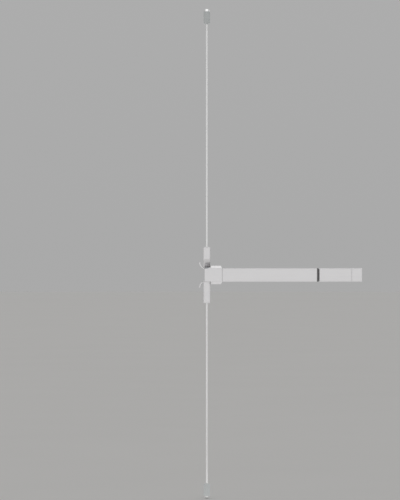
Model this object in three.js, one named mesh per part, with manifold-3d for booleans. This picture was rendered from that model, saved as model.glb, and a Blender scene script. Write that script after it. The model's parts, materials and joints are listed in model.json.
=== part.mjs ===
// A surface-mounted panic exit bar with vertical rods, for one leaf of a double fire door.
//
// Millimetres. +X runs along the bar, away from the meeting edge of the doors, and +Z is up.
// The door's face is the plane y = 0 and everything stands in front of it, so a point at depth d
// lies at y = -d. The origin is where the rods' line crosses the bar's mid-height, on the door.
//
// Pushing the bar swings two cranks, which pull a link along +X. The link's slide swings two lift
// levers, and these draw both rods and their bolts towards the centre case.
import * as THREE from "three";
import { mergeVertices } from "three/addons/utils/BufferGeometryUtils.js";
import Module from "manifold-3d";

const wasm = await Module();
wasm.setup();

// Driving dimensions
const GAP = 0.3; // left between pieces that touch
const SHEET = 1.6; // wall of the pressed covers
const ARC_STEPS = 7;
const ROUND_SIDES = 20;

const BAR = { halfHeight: 29, end: 671.5 };
const RAIL = { start: 50, end: 640, halfHeight: 27, depth: 34, wall: 2 };
const PAD = { start: 66.8, end: 475.5, trimEnd: 482.5, skirt: 26, face: 62, travel: 14 };
const FILLER = { start: 486.5, end: 626, skirt: 6, face: 50 };
const CASE = { left: -10.5, right: 66, halfHeight: 40, face: 64, chamfer: 12, wall: 2, split: 17.5 };
const CRADLE = { x: -6, z: 78, radius: 50.5, rim: 4 }; // the case's top edge sinks round the upper rod cover
const BASE = { left: -8.2, right: 49.5, halfHeight: 37.6, neck: 22, step: 20.5, plate: 3 };
const HORN = { centre: 56, inner: 28, outer: 33.5, depth: 16, from: 182, to: 250, rootFrom: 258, rootTo: 268 };
const ROD = { radius: 4, depth: 12, head: 8 };
const ROD_COVER = { halfWidth: 15, hornClear: 33, far: 121, depth: 44 };
const UPPER_RAMP = { near: 33, top: 74.8, rise: 20 }; // the upper rod cover's front curves in over its end
const LOWER_NEAR = 29.3; // the lower rod cover tucks up under the case's face
const LATCH = { halfWidth: 14, depth: 26, height: 54, chamfer: 5, top: 1141, bottom: -958 };
const BOLT = { halfWidth: 6, topLength: 41, bottomLength: 39, throwUp: 12, throwDown: 10 };

// The linkage
const degrees = THREE.MathUtils.degToRad;
const CRANK = { pivots: [120, 400], depth: 10, outArm: 16, swing: degrees(26), rollerRise: 30, roller: 5 };
const LINK_HALF_TRAVEL = CRANK.outArm * Math.sin(CRANK.swing / 2);
const LEVER = { pivotX: 30, pivotZ: 16, outArm: 29, tip: 4 };
LEVER.halfSwing = Math.atan(LINK_HALF_TRAVEL / LEVER.pivotZ);
const LEVER_TIP_Z = LEVER.pivotZ + LEVER.outArm * Math.sin(LEVER.halfSwing);
const LEVER_TIP_X = LEVER.pivotX - LEVER.outArm * Math.cos(LEVER.halfSwing);
const ROD_TRAVEL = 2 * LEVER.outArm * Math.sin(LEVER.halfSwing);

// The roller's arm turns through the crank's swing while its roller sinks by the bar's travel.
const fallShare = CRANK.rollerRise / (CRANK.rollerRise - PAD.travel);
const armAtLimit = Math.atan(Math.sin(CRANK.swing) / (fallShare - Math.cos(CRANK.swing)));
const ROLLER_ARM = (CRANK.rollerRise - PAD.travel) / Math.sin(armAtLimit);
const ROLLER_X = ROLLER_ARM * Math.cos(armAtLimit + CRANK.swing);
const LINK = { depth: CRANK.depth + CRANK.outArm, halfWidth: 4, low: GAP, high: GAP + 3 };
const SPRING = { tab: 200, anchor: 249, z: -9, coil: 5.2, wire: 1.6, guide: 3 };

// Materials
const finish = (color, roughness, metalness) =>
  new THREE.MeshStandardMaterial({ color, roughness, metalness });
const satinSteel = finish(0xcbcacb, 0.35, 0.9);
const paintedSilver = finish(0xa9acac, 0.5, 0.5);
const zincSteel = finish(0xb4b6b8, 0.45, 0.9);
const brightSteel = finish(0xd8d8d8, 0.25, 1);
const darkPlastic = finish(0x3a3b3d, 0.6, 0);
const nylon = finish(0xd9d6cc, 0.5, 0);
const springSteel = finish(0x8d9093, 0.35, 1);

// Axes of the drawings: along the bar, out from the door, and up
const ALONG = new THREE.Vector3(1, 0, 0);
const FRONT = new THREE.Vector3(0, -1, 0);
const UP = new THREE.Vector3(0, 0, 1);
const reversed = (axis) => axis.clone().negate();

// A closed geometry as a solid that can be joined and cut.
function solid(geometry) {
  const bare = geometry.clone();
  bare.deleteAttribute("normal");
  bare.deleteAttribute("uv");
  const merged = mergeVertices(bare, 1e-4);
  const vertProperties = merged.attributes.position.array;
  const triVerts = new Uint32Array(merged.index.array);
  return new wasm.Manifold(new wasm.Mesh({ numProp: 3, vertProperties, triVerts }));
}

const joined = (...solids) => solids.reduce((a, b) => a.add(b));
const cut = (from, ...tools) => tools.reduce((a, b) => a.subtract(b), from);

// The same solid on the other side of the bar's mid-height.
function mirrored(made) {
  const { vertProperties, triVerts } = made.getMesh();
  const points = vertProperties.map((v, i) => (i % 3 === 2 ? -v : v));
  const faces = triVerts.map((v, i) => triVerts[i + [0, 1, -1][i % 3]]);
  return new wasm.Manifold(new wasm.Mesh({ numProp: 3, vertProperties: points, triVerts: faces }));
}

function extruded(shape, length, axes, origin) {
  const options = { depth: length, bevelEnabled: false, curveSegments: ARC_STEPS };
  const geometry = new THREE.ExtrudeGeometry(shape, options);
  const matrix = new THREE.Matrix4().makeBasis(...axes).setPosition(origin);
  return solid(geometry.applyMatrix4(matrix));
}

// A shape drawn as (x, z), filled from depth d0 to d1.
const frontSlab = (shape, d0, d1) =>
  extruded(shape, d1 - d0, [ALONG, UP, FRONT], new THREE.Vector3(0, -d0, 0));
// A shape drawn as (depth, z), filled from x0 to x1.
const sideSlab = (shape, x0, x1) =>
  extruded(shape, x1 - x0, [FRONT, UP, reversed(ALONG)], new THREE.Vector3(x1, 0, 0));
// A shape drawn as (x, depth), filled from z0 to z1.
const planSlab = (shape, z0, z1) =>
  extruded(shape, z1 - z0, [ALONG, FRONT, reversed(UP)], new THREE.Vector3(0, 0, z1));

const outline = (points) => new THREE.Shape(points.map(([u, v]) => new THREE.Vector2(u, v)));

// A box between two x, two depths and two heights.
function block([x0, x1], [d0, d1], [z0, z1]) {
  const geometry = new THREE.BoxGeometry(x1 - x0, d1 - d0, z1 - z0);
  return solid(geometry.translate((x0 + x1) / 2, -(d0 + d1) / 2, (z0 + z1) / 2));
}

// Round bars along x, out from the door, and up; hex gives a nut or a hexagon head.
const bar = (radius, length, sides) =>
  new THREE.CylinderGeometry(radius, radius, length, sides ?? ROUND_SIDES);
const barAlong = (radius, [x0, x1], depth, z, sides) =>
  solid(bar(radius, x1 - x0, sides).rotateZ(Math.PI / 2).translate((x0 + x1) / 2, -depth, z));
const barOut = (radius, x, [d0, d1], z, sides) =>
  solid(bar(radius, d1 - d0, sides).translate(x, -(d0 + d1) / 2, z));
const barUp = (radius, x, depth, [z0, z1], sides) =>
  solid(bar(radius, z1 - z0, sides).rotateX(Math.PI / 2).translate(x, -depth, (z0 + z1) / 2));

// A flat arm with round ends, in the drawing plane of the slab it is used in.
function arm([u0, v0], [u1, v1], r0, r1) {
  const angle = Math.atan2(v1 - v0, u1 - u0);
  const shape = new THREE.Shape();
  shape.absarc(u0, v0, r0, angle + Math.PI / 2, angle + (3 * Math.PI) / 2, false);
  shape.absarc(u1, v1, r1, angle - Math.PI / 2, angle + Math.PI / 2, false);
  return shape;
}

class Helix extends THREE.Curve {
  constructor(place, radius, length, turns) {
    super();
    Object.assign(this, { place, radius, length, turns });
  }
  getPoint(t, target = new THREE.Vector3()) {
    const angle = 2 * Math.PI * this.turns * t;
    return this.place(this.radius * Math.cos(angle), this.radius * Math.sin(angle), this.length * t, target);
  }
}

// A coil spring of round wire, from one end to the other of the stretch that place() maps.
function coilSpring(place, radius, wire, length, turns) {
  const section = new THREE.Shape();
  section.absarc(0, 0, wire / 2, 0, 2 * Math.PI, false);
  const extrudePath = new Helix(place, radius, length, turns);
  const options = { extrudePath, steps: turns * 10, curveSegments: 3 };
  return new THREE.ExtrudeGeometry(section, options);
}

const model = new THREE.Group();

function add(name, made, material) {
  let geometry = made;
  if (!made.isBufferGeometry) {
    const { vertProperties, triVerts } = made.getMesh();
    geometry = new THREE.BufferGeometry();
    geometry.setAttribute("position", new THREE.BufferAttribute(vertProperties, 3));
    geometry.setIndex(new THREE.BufferAttribute(triVerts, 1));
    geometry.computeVertexNormals();
  }
  const mesh = new THREE.Mesh(geometry, material);
  mesh.name = name;
  model.add(mesh);
}

// ---- The bar: rail, filler cover, end cap and its bracket ----

const channel = (half, wall, back, front, x0, x1) =>
  cut(
    block([x0, x1], [back, front], [-half, half]),
    block([x0 - 1, x1 + 1], [back - 1, front - wall], [wall - half, half - wall]),
  );

function mechanismRail() {
  const { start, end, halfHeight, depth, wall } = RAIL;
  const inside = block([start - 1, end + 1], [wall, depth + 1], [wall - halfHeight, halfHeight - wall]);
  return cut(block([start, end], [0, depth], [-halfHeight, halfHeight]), inside);
}

const END_SCREW = { depth: 18, head: 4.4, shank: 2.1, tip: 658 };
function endCap() {
  const { halfHeight, end } = BAR;
  const start = FILLER.end + 2 * GAP;
  const shell = cut(
    block([start, end], [0, FILLER.face], [-halfHeight, halfHeight]),
    block([start - 1, end - SHEET], [-1, FILLER.face - SHEET], [SHEET - halfHeight, halfHeight - SHEET]),
  );
  return cut(shell, barAlong(END_SCREW.head + 0.4, [end - 3, end + 1], END_SCREW.depth, 0));
}

const BRACKET = { start: 615, lap: 645, end: 664, gauge: 3, halfWidth: 20, tabHalfWidth: 12, tabDepth: 28 };
const BRACKET_FIX = { x: 653, z: 13, radius: 2.6 };
function endBracket() {
  const { start, lap, end, gauge, halfWidth, tabHalfWidth, tabDepth } = BRACKET;
  const width = [-halfWidth, halfWidth];
  const tongueBack = RAIL.wall + GAP;
  const foot = block([RAIL.end + GAP, end], [0, gauge], width);
  const tongue = block([start, lap], [tongueBack, tongueBack + gauge], width);
  const tab = block([end - gauge, end], [gauge - 1, tabDepth], [-tabHalfWidth, tabHalfWidth]);
  return cut(
    joined(foot, tongue, tab),
    barAlong(END_SCREW.shank + 0.4, [end - gauge - 1, end + 1], END_SCREW.depth, 0),
    barOut(BRACKET_FIX.radius, BRACKET_FIX.x, [-1, gauge + 4], BRACKET_FIX.z),
    barOut(BRACKET_FIX.radius, BRACKET_FIX.x, [-1, gauge + 4], -BRACKET_FIX.z),
  );
}

add("mechanism_rail", mechanismRail(), zincSteel);
add(
  "rail_filler_cover",
  channel(BAR.halfHeight, SHEET, FILLER.skirt, FILLER.face, FILLER.start, FILLER.end),
  satinSteel,
);
add("end_cap", endCap(), satinSteel);
add("end_bracket", endBracket(), zincSteel);
add(
  "end_cap_screw",
  joined(
    barAlong(END_SCREW.head, [BAR.end - SHEET, BAR.end], END_SCREW.depth, 0),
    barAlong(END_SCREW.shank, [END_SCREW.tip, BAR.end - SHEET + 0.5], END_SCREW.depth, 0, 12),
  ),
  brightSteel,
);

// ---- The push bar that a hand or hip presses ----

function padTrim() {
  const { halfHeight } = BAR;
  const clear = RAIL.depth + PAD.travel + GAP;
  const body = block([PAD.end + GAP, PAD.trimEnd], [PAD.skirt, PAD.face], [-halfHeight, halfHeight]);
  const railWay = block([PAD.end, PAD.trimEnd + 1], [0, clear], [SHEET - halfHeight, halfHeight - SHEET]);
  return cut(body, railWay);
}

// A hat-section bracket whose flat underside rides on a crank's roller.
const ROLLER_PLAY = 0.9; // the roller rises by up to 0.6 in mid-swing
const HAT = { clear: CRANK.roller + ROLLER_PLAY, gauge: 2, crown: 12, brim: 20 };
function pushBracket(pivot) {
  const { clear, gauge, crown, brim } = HAT;
  const face = CRANK.depth + CRANK.rollerRise + clear;
  const roof = PAD.face - SHEET - GAP;
  const half = [
    [face, 0],
    [face, crown],
    [roof - gauge, crown],
    [roof - gauge, brim],
    [roof, brim],
    [roof, crown - gauge],
    [face + gauge, crown - gauge],
    [face + gauge, 0],
  ];
  const other = half.slice(1, -1).reverse().map(([d, z]) => [d, -z]);
  return sideSlab(outline([...half, ...other]), pivot + ROLLER_X - 8, pivot + ROLLER_X + 20);
}

add("push_bar", channel(BAR.halfHeight, SHEET, PAD.skirt, PAD.face, PAD.start, PAD.end), satinSteel);
add("push_bar_end_trim", padTrim(), darkPlastic);
add(
  "push_bar_inner_trim",
  block(
    [PAD.start + GAP, PAD.start + 4],
    [RAIL.depth + PAD.travel + 1, PAD.face - SHEET - GAP],
    [SHEET + GAP - BAR.halfHeight, BAR.halfHeight - SHEET - GAP],
  ),
  darkPlastic,
);
CRANK.pivots.forEach((pivot, i) => add(`push_bracket_${i + 1}`, pushBracket(pivot), zincSteel));

// ---- Cranks, their brackets, pins and rollers ----

const CRANK_PLATE = [-3.5, 0];
const CRANK_HUB = { radius: 5, bore: 2.8, halfLength: 8.5 };
const CRANK_PIN = { radius: 2.5, halfLength: 13 };
const LINK_PIN = { radius: 2, bore: 2.3 };
const ROLLER_PIN = { radius: 1.5, bore: 1.8 };
const ROLLER_AT = (pivot) => [pivot + ROLLER_X, CRANK.depth + CRANK.rollerRise];
const OUT_PIN_AT = (pivot) => [
  pivot - CRANK.outArm * Math.sin(CRANK.swing / 2),
  CRANK.depth + CRANK.outArm * Math.cos(CRANK.swing / 2),
];

function crank(pivot) {
  const hub = [pivot, CRANK.depth];
  const { radius, bore, halfLength } = CRANK_HUB;
  const arms = [arm(hub, ROLLER_AT(pivot), radius, 3.6), arm(hub, OUT_PIN_AT(pivot), radius, 4.2)];
  const body = joined(...arms.map((shape) => planSlab(shape, ...CRANK_PLATE)));
  const through = [CRANK_PLATE[0] - 1.5, CRANK_PLATE[1] + 1];
  return cut(
    joined(body, barUp(radius, ...hub, [-halfLength, halfLength])),
    barUp(bore, ...hub, [-halfLength - 1.5, halfLength + 1.5]),
    barUp(ROLLER_PIN.bore, ...ROLLER_AT(pivot), through, 12),
    barUp(LINK_PIN.bore, ...OUT_PIN_AT(pivot), through, 12),
  );
}

// A channel folded from strip, whose two ears hold a crank's pin.
const FORK = { halfLength: 11, halfWidth: 12, gauge: 2, earFrom: 9.4, earFoot: 8, earTop: 5 };
function crankBracket(pivot) {
  const { halfLength, halfWidth, gauge, earFrom, earFoot, earTop } = FORK;
  const back = RAIL.wall + GAP;
  const base = block([pivot - halfLength, pivot + halfLength], [back, back + gauge], [-halfWidth, halfWidth]);
  const shape = outline([
    [pivot - earFoot, back + 1],
    [pivot + earFoot, back + 1],
    [pivot + earTop, CRANK.depth + earTop],
    [pivot - earTop, CRANK.depth + earTop],
  ]);
  const ear = planSlab(shape, earFrom, earFrom + gauge);
  const pinWay = barUp(CRANK_HUB.bore, pivot, CRANK.depth, [-halfWidth - 2, halfWidth + 2]);
  return cut(joined(base, ear, mirrored(ear)), pinWay);
}

// A roller and its pin as one turned piece, on the far side of the crank from the link.
function crankRoller(pivot) {
  const at = ROLLER_AT(pivot);
  const seat = CRANK_PLATE[0] - GAP;
  const tread = barUp(CRANK.roller, ...at, [seat - 5, seat], 24);
  return joined(tread, barUp(ROLLER_PIN.radius, ...at, [seat - 1, -GAP], 12));
}

CRANK.pivots.forEach((pivot, i) => {
  const n = i + 1;
  add(`crank_${n}`, crank(pivot), zincSteel);
  add(`crank_bracket_${n}`, crankBracket(pivot), zincSteel);
  const pinRun = [-CRANK_PIN.halfLength, CRANK_PIN.halfLength];
  add(`crank_pin_${n}`, barUp(CRANK_PIN.radius, pivot, CRANK.depth, pinRun), brightSteel);
  add(`crank_roller_${n}`, crankRoller(pivot), nylon);
  add(`link_pin_${n}`, barUp(LINK_PIN.radius, ...OUT_PIN_AT(pivot), [-5, LINK.high + 2], 12), brightSteel);
});

// ---- The link, its spring, and the slide that it pulls in the centre case ----

const SLIDE = { start: 46, end: 62, rivetX: 54, floor: 15.5, gauge: 2, pinX: LEVER.pivotX - LINK_HALF_TRAVEL };
function actuatorLink() {
  const { depth, halfWidth, low, high } = LINK;
  const [first, last] = CRANK.pivots;
  const strip = block([SLIDE.start, last + 8], [depth - halfWidth, depth + halfWidth], [low, high]);
  const tab = block([SPRING.tab, SPRING.tab + 3], [depth - 5, depth + 5], [SPRING.z - 7, high]);
  // The pins swing through a shallow arc, so their holes are a little longer across the strip.
  const pinWay = ([x, d]) => planSlab(arm([x, d], [x, depth], 2.35, 2.35), 0, 5);
  return cut(
    joined(strip, tab),
    pinWay(OUT_PIN_AT(first)),
    pinWay(OUT_PIN_AT(last)),
    barUp(LINK_PIN.bore, SLIDE.rivetX, depth, [0, 5], 12),
    barAlong(SPRING.guide + GAP, [SPRING.tab - 1, SPRING.tab + 4], depth, SPRING.z),
  );
}

// An angle riveted to the link's end: its floor carries the pin that swings both levers.
const SLIDE_PIN = { radius: 2.5, bore: 2.8 };
function centerSlide() {
  const { start, end, rivetX, floor, gauge, pinX } = SLIDE;
  const low = LINK.high + GAP;
  const flat = block([pinX - 6, end], [floor, floor + 3], [-6, low + gauge]);
  const wall = block([start, end], [floor + 0.5, LINK.depth + 5], [low, low + gauge]);
  return cut(
    joined(flat, wall),
    barOut(SLIDE_PIN.bore, pinX, [floor - 1.5, floor + 4.5], 0),
    barUp(LINK_PIN.bore, rivetX, LINK.depth, [low - 0.6, low + gauge + 2.4], 12),
  );
}

function springAnchor() {
  const { anchor, z, guide } = SPRING;
  const height = [z - 11, z + 8];
  const plate = block([anchor, anchor + 3], [3, LINK.depth + 7], height);
  const foot = block([anchor, anchor + 20], [RAIL.wall + GAP, 4.5], height);
  const way = barAlong(guide + 0.6, [anchor - 1, anchor + 4], LINK.depth, z);
  return cut(joined(plate, foot), way);
}

const springStart = SPRING.tab + 4.2;
const springPlace = (a, b, c, target) => target.set(springStart + c, -LINK.depth + a, SPRING.z + b);
const springLength = SPRING.anchor - 1.2 - springStart;

add("actuator_link", actuatorLink(), zincSteel);
add("center_slide", centerSlide(), zincSteel);
const rivetRun = [-1.5, LINK.high + 5];
add("slide_rivet", barUp(LINK_PIN.radius, SLIDE.rivetX, LINK.depth, rivetRun, 12), brightSteel);
add("slide_pin", barOut(SLIDE_PIN.radius, SLIDE.pinX, [6.2, 19.5], 0), brightSteel);
const guideRun = [SPRING.tab - 2, SPRING.anchor + 14];
add("spring_guide_pin", barAlong(SPRING.guide, guideRun, LINK.depth, SPRING.z), brightSteel);
add("spring_anchor", springAnchor(), zincSteel);
add("return_spring", coilSpring(springPlace, SPRING.coil, SPRING.wire, springLength, 8), springSteel);

// ---- Centre case: base plate with its horns, lift levers and cover ----

// Part of a flat ring, centred on the rods' line a horn's height above the bar's middle.
function ring(inner, outer, from, to) {
  const shape = new THREE.Shape();
  shape.absarc(0, HORN.centre, outer, degrees(from), degrees(to), false);
  shape.absarc(0, HORN.centre, inner, degrees(to), degrees(from), true);
  return shape;
}

// The arc of a horn, grown on both sides by a clearance.
const hornArc = (grow, from, to) => ring(HORN.inner - grow, HORN.outer + grow, from, to);

const BASE_FIX = { x: 38, z: 30, radius: 2.6 };
const BASE_TAB = { from: 31, to: 48, depth: 36, gauge: 2.2 };
const COVER_SCREW = { x: 40, depth: 28, head: 3.8, shank: 1.7, sink: 1.4, length: 7 };
function centerBase() {
  const { left, right, halfHeight, neck, step, plate } = BASE;
  const shape = outline([
    [left, -neck],
    [step, -neck],
    [step, -halfHeight],
    [right, -halfHeight],
    [right, halfHeight],
    [step, halfHeight],
    [step, neck],
    [left, neck],
  ]);
  const foot = frontSlab(hornArc(0, HORN.from, HORN.rootTo), 0, plate);
  const root = frontSlab(ring(HORN.inner, HORN.outer + 4, HORN.rootFrom, HORN.rootTo), 0, plate);
  const horn = joined(frontSlab(hornArc(0, HORN.from, HORN.to), 0, HORN.depth), foot, root);
  const { from, to, depth, gauge } = BASE_TAB;
  const tab = block([from, to], [plate - 1, depth], [halfHeight - gauge, halfHeight]);
  const body = joined(frontSlab(shape, 0, plate), horn, mirrored(horn), tab, mirrored(tab));
  const screwWay = barUp(COVER_SCREW.shank + GAP, COVER_SCREW.x, COVER_SCREW.depth, [-60, 60], 12);
  const fixing = barOut(BASE_FIX.radius, BASE_FIX.x, [-1, plate + 1], BASE_FIX.z);
  return cut(body, fixing, mirrored(fixing), screwWay);
}

// The outer form of the cover, or its hollow when grow is negative. Its ears stand above and below
// the bar, and left of them it has the bar's own height, sunk a little round the upper rod cover.
function caseForm(grow) {
  const high = CASE.halfHeight + grow;
  const face = CASE.face + grow;
  const flat = BAR.halfHeight + grow;
  const shoulder = CASE.face - CASE.chamfer + grow * 0.4;
  const back = grow < 0 ? -1 : 0;
  const left = CASE.left - grow;
  const right = CASE.right + grow;
  const split = CASE.split - grow;
  const taper = (CASE.halfHeight - BAR.halfHeight) / 2;
  const earPlan = outline([
    [split, -high],
    [right - taper, -high],
    [right, -flat],
    [right, flat],
    [right - taper, high],
    [split, high],
  ]);
  const earSection = outline([
    [back, high],
    [shoulder, high],
    [face, flat],
    [face, -flat],
    [shoulder, -high],
    [back, -high],
  ]);
  const ears = sideSlab(earSection, split, right).intersect(frontSlab(earPlan, back, face));
  const neck = joined(
    block([left, split + 1], [back, face], [-flat, flat]),
    block([left, CASE.split], [back, face], [0, flat + CRADLE.rim]),
  );
  const cradle = barOut(CRADLE.radius - grow, CRADLE.x, [-2, face + 1], CRADLE.z, 72);
  return joined(cut(neck, cradle), ears);
}

function caseCover() {
  const rodWay = block([-9.5, 14], [-1, 22], [20, 42]); // lets the rod heads and lever tips out
  const hornWay = frontSlab(hornArc(0.5, HORN.from - 3, HORN.to + 6), -1, HORN.depth + 0.5);
  const railWay = block(
    [CASE.right - 5, CASE.right + 1],
    [-1, RAIL.depth + 0.5],
    [-RAIL.halfHeight - 0.5, RAIL.halfHeight + 0.5],
  );
  const { x, depth, head, sink } = COVER_SCREW;
  const screwWay = joined(
    barUp(2.6, x, depth, [30, 60], 12),
    barUp(head + GAP, x, depth, [CASE.halfHeight - sink, CASE.halfHeight + 1]),
  );
  const ways = [rodWay, hornWay, screwWay].flatMap((way) => [way, mirrored(way)]);
  return cut(caseForm(0), caseForm(-CASE.wall), railWay, ...ways);
}

// An L-shaped lever: the slide's pin swings one arm, and the other carries a rod head.
function liftLever([d0, d1]) {
  const hub = [LEVER.pivotX, LEVER.pivotZ];
  const inTip = [SLIDE.pinX, 0];
  const outTip = [LEVER_TIP_X, LEVER_TIP_Z];
  const neckStart = [LEVER_TIP_X + 6, LEVER_TIP_Z - 6 * Math.tan(LEVER.halfSwing)];
  const slotRun = new THREE.Vector2(hub[0] - inTip[0], hub[1] - inTip[1]).setLength(1.1);
  const slotEnds = [-1, 1].map((side) => [inTip[0] + side * slotRun.x, inTip[1] + side * slotRun.y]);
  const slot = arm(...slotEnds, 2.85, 2.85);
  const body = joined(
    frontSlab(arm(hub, neckStart, 6, 2.6), d0, d1),
    frontSlab(arm(neckStart, outTip, 2.6, 2.6), d0, d1),
    frontSlab(arm(outTip, [outTip[0] + 0.1, outTip[1]], LEVER.tip, LEVER.tip), d0, d1),
    frontSlab(arm(hub, inTip, 6, 5.8), d0, d1),
  );
  return cut(body, frontSlab(slot, d0 - 1, d1 + 1), barOut(3.3, hub[0], [d0 - 1, d1 + 1], hub[1]));
}

// A round pin with a head, standing on the base plate.
const LEVER_PIN = { radius: 3, head: 4.6, headBack: 15, headFront: 16.5 };
const leverPin = () => {
  const { pivotX, pivotZ } = LEVER;
  const { radius, head, headBack, headFront } = LEVER_PIN;
  return joined(
    barOut(radius, pivotX, [BASE.plate + GAP, headBack + 1], pivotZ),
    barOut(head, pivotX, [headBack, headFront], pivotZ),
  );
};

const coverScrew = () => {
  const { x, depth, head, shank, sink, length } = COVER_SCREW;
  const seat = CASE.halfHeight - sink + GAP;
  return joined(
    barUp(head, x, depth, [seat, CASE.halfHeight]),
    barUp(shank, x, depth, [seat - length, seat + 0.5], 12),
  );
};

add("center_base_plate", centerBase(), satinSteel);
add("center_case_cover", caseCover(), satinSteel);
add("upper_lift_lever", liftLever([7, 10.3]), zincSteel);
add("lower_lift_lever", mirrored(liftLever([11, 14.3])), zincSteel);
add("upper_lever_pin", leverPin(), brightSteel);
add("lower_lever_pin", mirrored(leverPin()), brightSteel);
add("case_cover_screw_upper", coverScrew(), brightSteel);
add("case_cover_screw_lower", mirrored(coverScrew()), brightSteel);

// ---- Rods with their heads, lock nuts, guides and covers ----

const HEAD_TOP = 36;
function rodHead() {
  const slotHalf = LEVER.tip + 0.6;
  const low = LEVER_TIP_Z - slotHalf - 4;
  const body = block([-ROD.head, ROD.head], [ROD.depth - 6, ROD.depth + 6], [low, HEAD_TOP]);
  const slot = block(
    [LEVER_TIP_X - LEVER.tip - 1.2, ROD.head + 1],
    [0, 20],
    [LEVER_TIP_Z - slotHalf, LEVER_TIP_Z + slotHalf],
  );
  return cut(body, slot, barUp(ROD.radius + GAP, 0, ROD.depth, [29, HEAD_TOP + 1], 24));
}

const LOCK_NUT = { corner: 7.5, height: 6.5 };
const lockNut = () =>
  cut(
    barUp(LOCK_NUT.corner, 0, ROD.depth, [HEAD_TOP + GAP, HEAD_TOP + GAP + LOCK_NUT.height], 6),
    barUp(ROD.radius + GAP, 0, ROD.depth, [HEAD_TOP, HEAD_TOP + 8], 24),
  );

const GUIDE = { foot: [88, 114], block: [96, 104], ear: [102, 113] };
const GUIDE_SCREW = { depth: 32, z: 107.5 };
function rodGuide() {
  const inner = ROD_COVER.halfWidth - SHEET - GAP;
  const body = joined(
    block([-inner, inner], [0, 2.5], GUIDE.foot),
    block([-8, 8], [2, ROD.depth + 7], GUIDE.block),
    block([inner - 2, inner], [2, 38], GUIDE.ear),
  );
  const screwWay = barAlong(1.9, [8, 16], GUIDE_SCREW.depth, GUIDE_SCREW.z, 12);
  return cut(body, barUp(ROD.radius + GAP, 0, ROD.depth, [95, 105], 24), screwWay);
}

// A rod cover's outer form, or its hollow when grow is negative. Behind the horn's depth it starts
// a little further up, to clear the horn.
function rodCoverForm(grow, ramp) {
  const { hornClear, far, depth, halfWidth } = ROD_COVER;
  const front = depth + grow;
  const back = grow < 0 ? -1 : 0;
  const open = grow < 0 ? 3 : 0; // the hollow runs out through the near end
  const shape = new THREE.Shape();
  shape.moveTo(back, hornClear - open);
  shape.lineTo(HORN.depth + 1.5 + grow, hornClear - open);
  if (ramp) {
    const sink = ramp.rise;
    const run = ramp.top - ramp.near;
    const radius = (sink ** 2 + run ** 2) / (2 * sink);
    const angle = Math.asin(run / (radius + grow));
    shape.lineTo(depth - radius + (radius + grow) * Math.cos(angle), ramp.near - open);
    shape.absarc(depth - radius, ramp.top, radius + grow, -angle, 0, false);
  } else {
    shape.lineTo(HORN.depth + 1.5 + grow, LOWER_NEAR - open);
    shape.lineTo(front, LOWER_NEAR - open);
  }
  shape.lineTo(front, far + grow);
  shape.lineTo(back, far + grow);
  return sideSlab(shape, -halfWidth - grow, halfWidth + grow);
}

const SIDE_SCREW = { head: 3.2, sink: 1, shank: 1.6, length: 5 };
function rodCover(ramp) {
  const { far, halfWidth } = ROD_COVER;
  const { depth, z } = GUIDE_SCREW;
  const rodWay = barUp(ROD.radius + 1, 0, ROD.depth, [far - 4, far + 1], 24);
  const screwWay = barAlong(2.1, [halfWidth - 3, halfWidth + 1], depth, z, 12);
  const seat = barAlong(SIDE_SCREW.head + GAP, [halfWidth - SIDE_SCREW.sink, halfWidth + 1], depth, z);
  return cut(rodCoverForm(0, ramp), rodCoverForm(-SHEET, ramp), rodWay, screwWay, seat);
}

// A countersunk screw that lies flush in a cover's right-hand side.
function sideScrew(face, depth, z) {
  const seat = face - SIDE_SCREW.sink + GAP;
  const head = barAlong(SIDE_SCREW.head, [seat, face], depth, z);
  return joined(head, barAlong(SIDE_SCREW.shank, [seat - SIDE_SCREW.length, seat + 0.4], depth, z, 12));
}
const rodCoverScrew = () => sideScrew(ROD_COVER.halfWidth, GUIDE_SCREW.depth, GUIDE_SCREW.z);

const ROD_START = 29 + GAP;
const BOLT_START = LATCH.top + BOLT.throwUp - BOLT.topLength;
const LOW_BOLT_START = -LATCH.bottom + BOLT.throwDown - BOLT.bottomLength;
const BOLT_SOCKET = 12;
const rodOf = (start) => barUp(ROD.radius, 0, ROD.depth, [ROD_START, start + BOLT_SOCKET - GAP], 24);

add("upper_rod", rodOf(BOLT_START), brightSteel);
add("lower_rod", mirrored(rodOf(LOW_BOLT_START)), brightSteel);
add("upper_rod_head", rodHead(), zincSteel);
add("lower_rod_head", mirrored(rodHead()), zincSteel);
add("upper_lock_nut", lockNut(), brightSteel);
add("lower_lock_nut", mirrored(lockNut()), brightSteel);
add("upper_rod_guide", rodGuide(), zincSteel);
add("lower_rod_guide", mirrored(rodGuide()), zincSteel);
add("upper_rod_cover", rodCover(UPPER_RAMP), satinSteel);
add("lower_rod_cover", mirrored(rodCover(null)), satinSteel);
add("upper_rod_cover_screw", rodCoverScrew(), brightSteel);
add("lower_rod_cover_screw", mirrored(rodCoverScrew()), brightSteel);

// ---- The latches at the head and foot of the door, drawn with the bolt pointing up ----

// The cover's outer form: chamfered long edges, and clipped corners at the rod's end.
function latchForm(grow, end) {
  const half = LATCH.halfWidth + grow;
  const front = LATCH.depth + grow;
  const back = grow < 0 ? -1 : 0;
  const slant = LATCH.chamfer + grow * 0.4;
  const low = end - LATCH.height - grow;
  const high = end + grow;
  const face = outline([
    [-half + slant, low],
    [half - slant, low],
    [half, low + slant],
    [half, high],
    [-half, high],
    [-half, low + slant],
  ]);
  const plan = outline([
    [-half, back],
    [half, back],
    [half, front - slant],
    [half - slant, front],
    [slant - half, front],
    [-half, front - slant],
  ]);
  return frontSlab(face, back, front).intersect(planSlab(plan, low, high));
}

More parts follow.
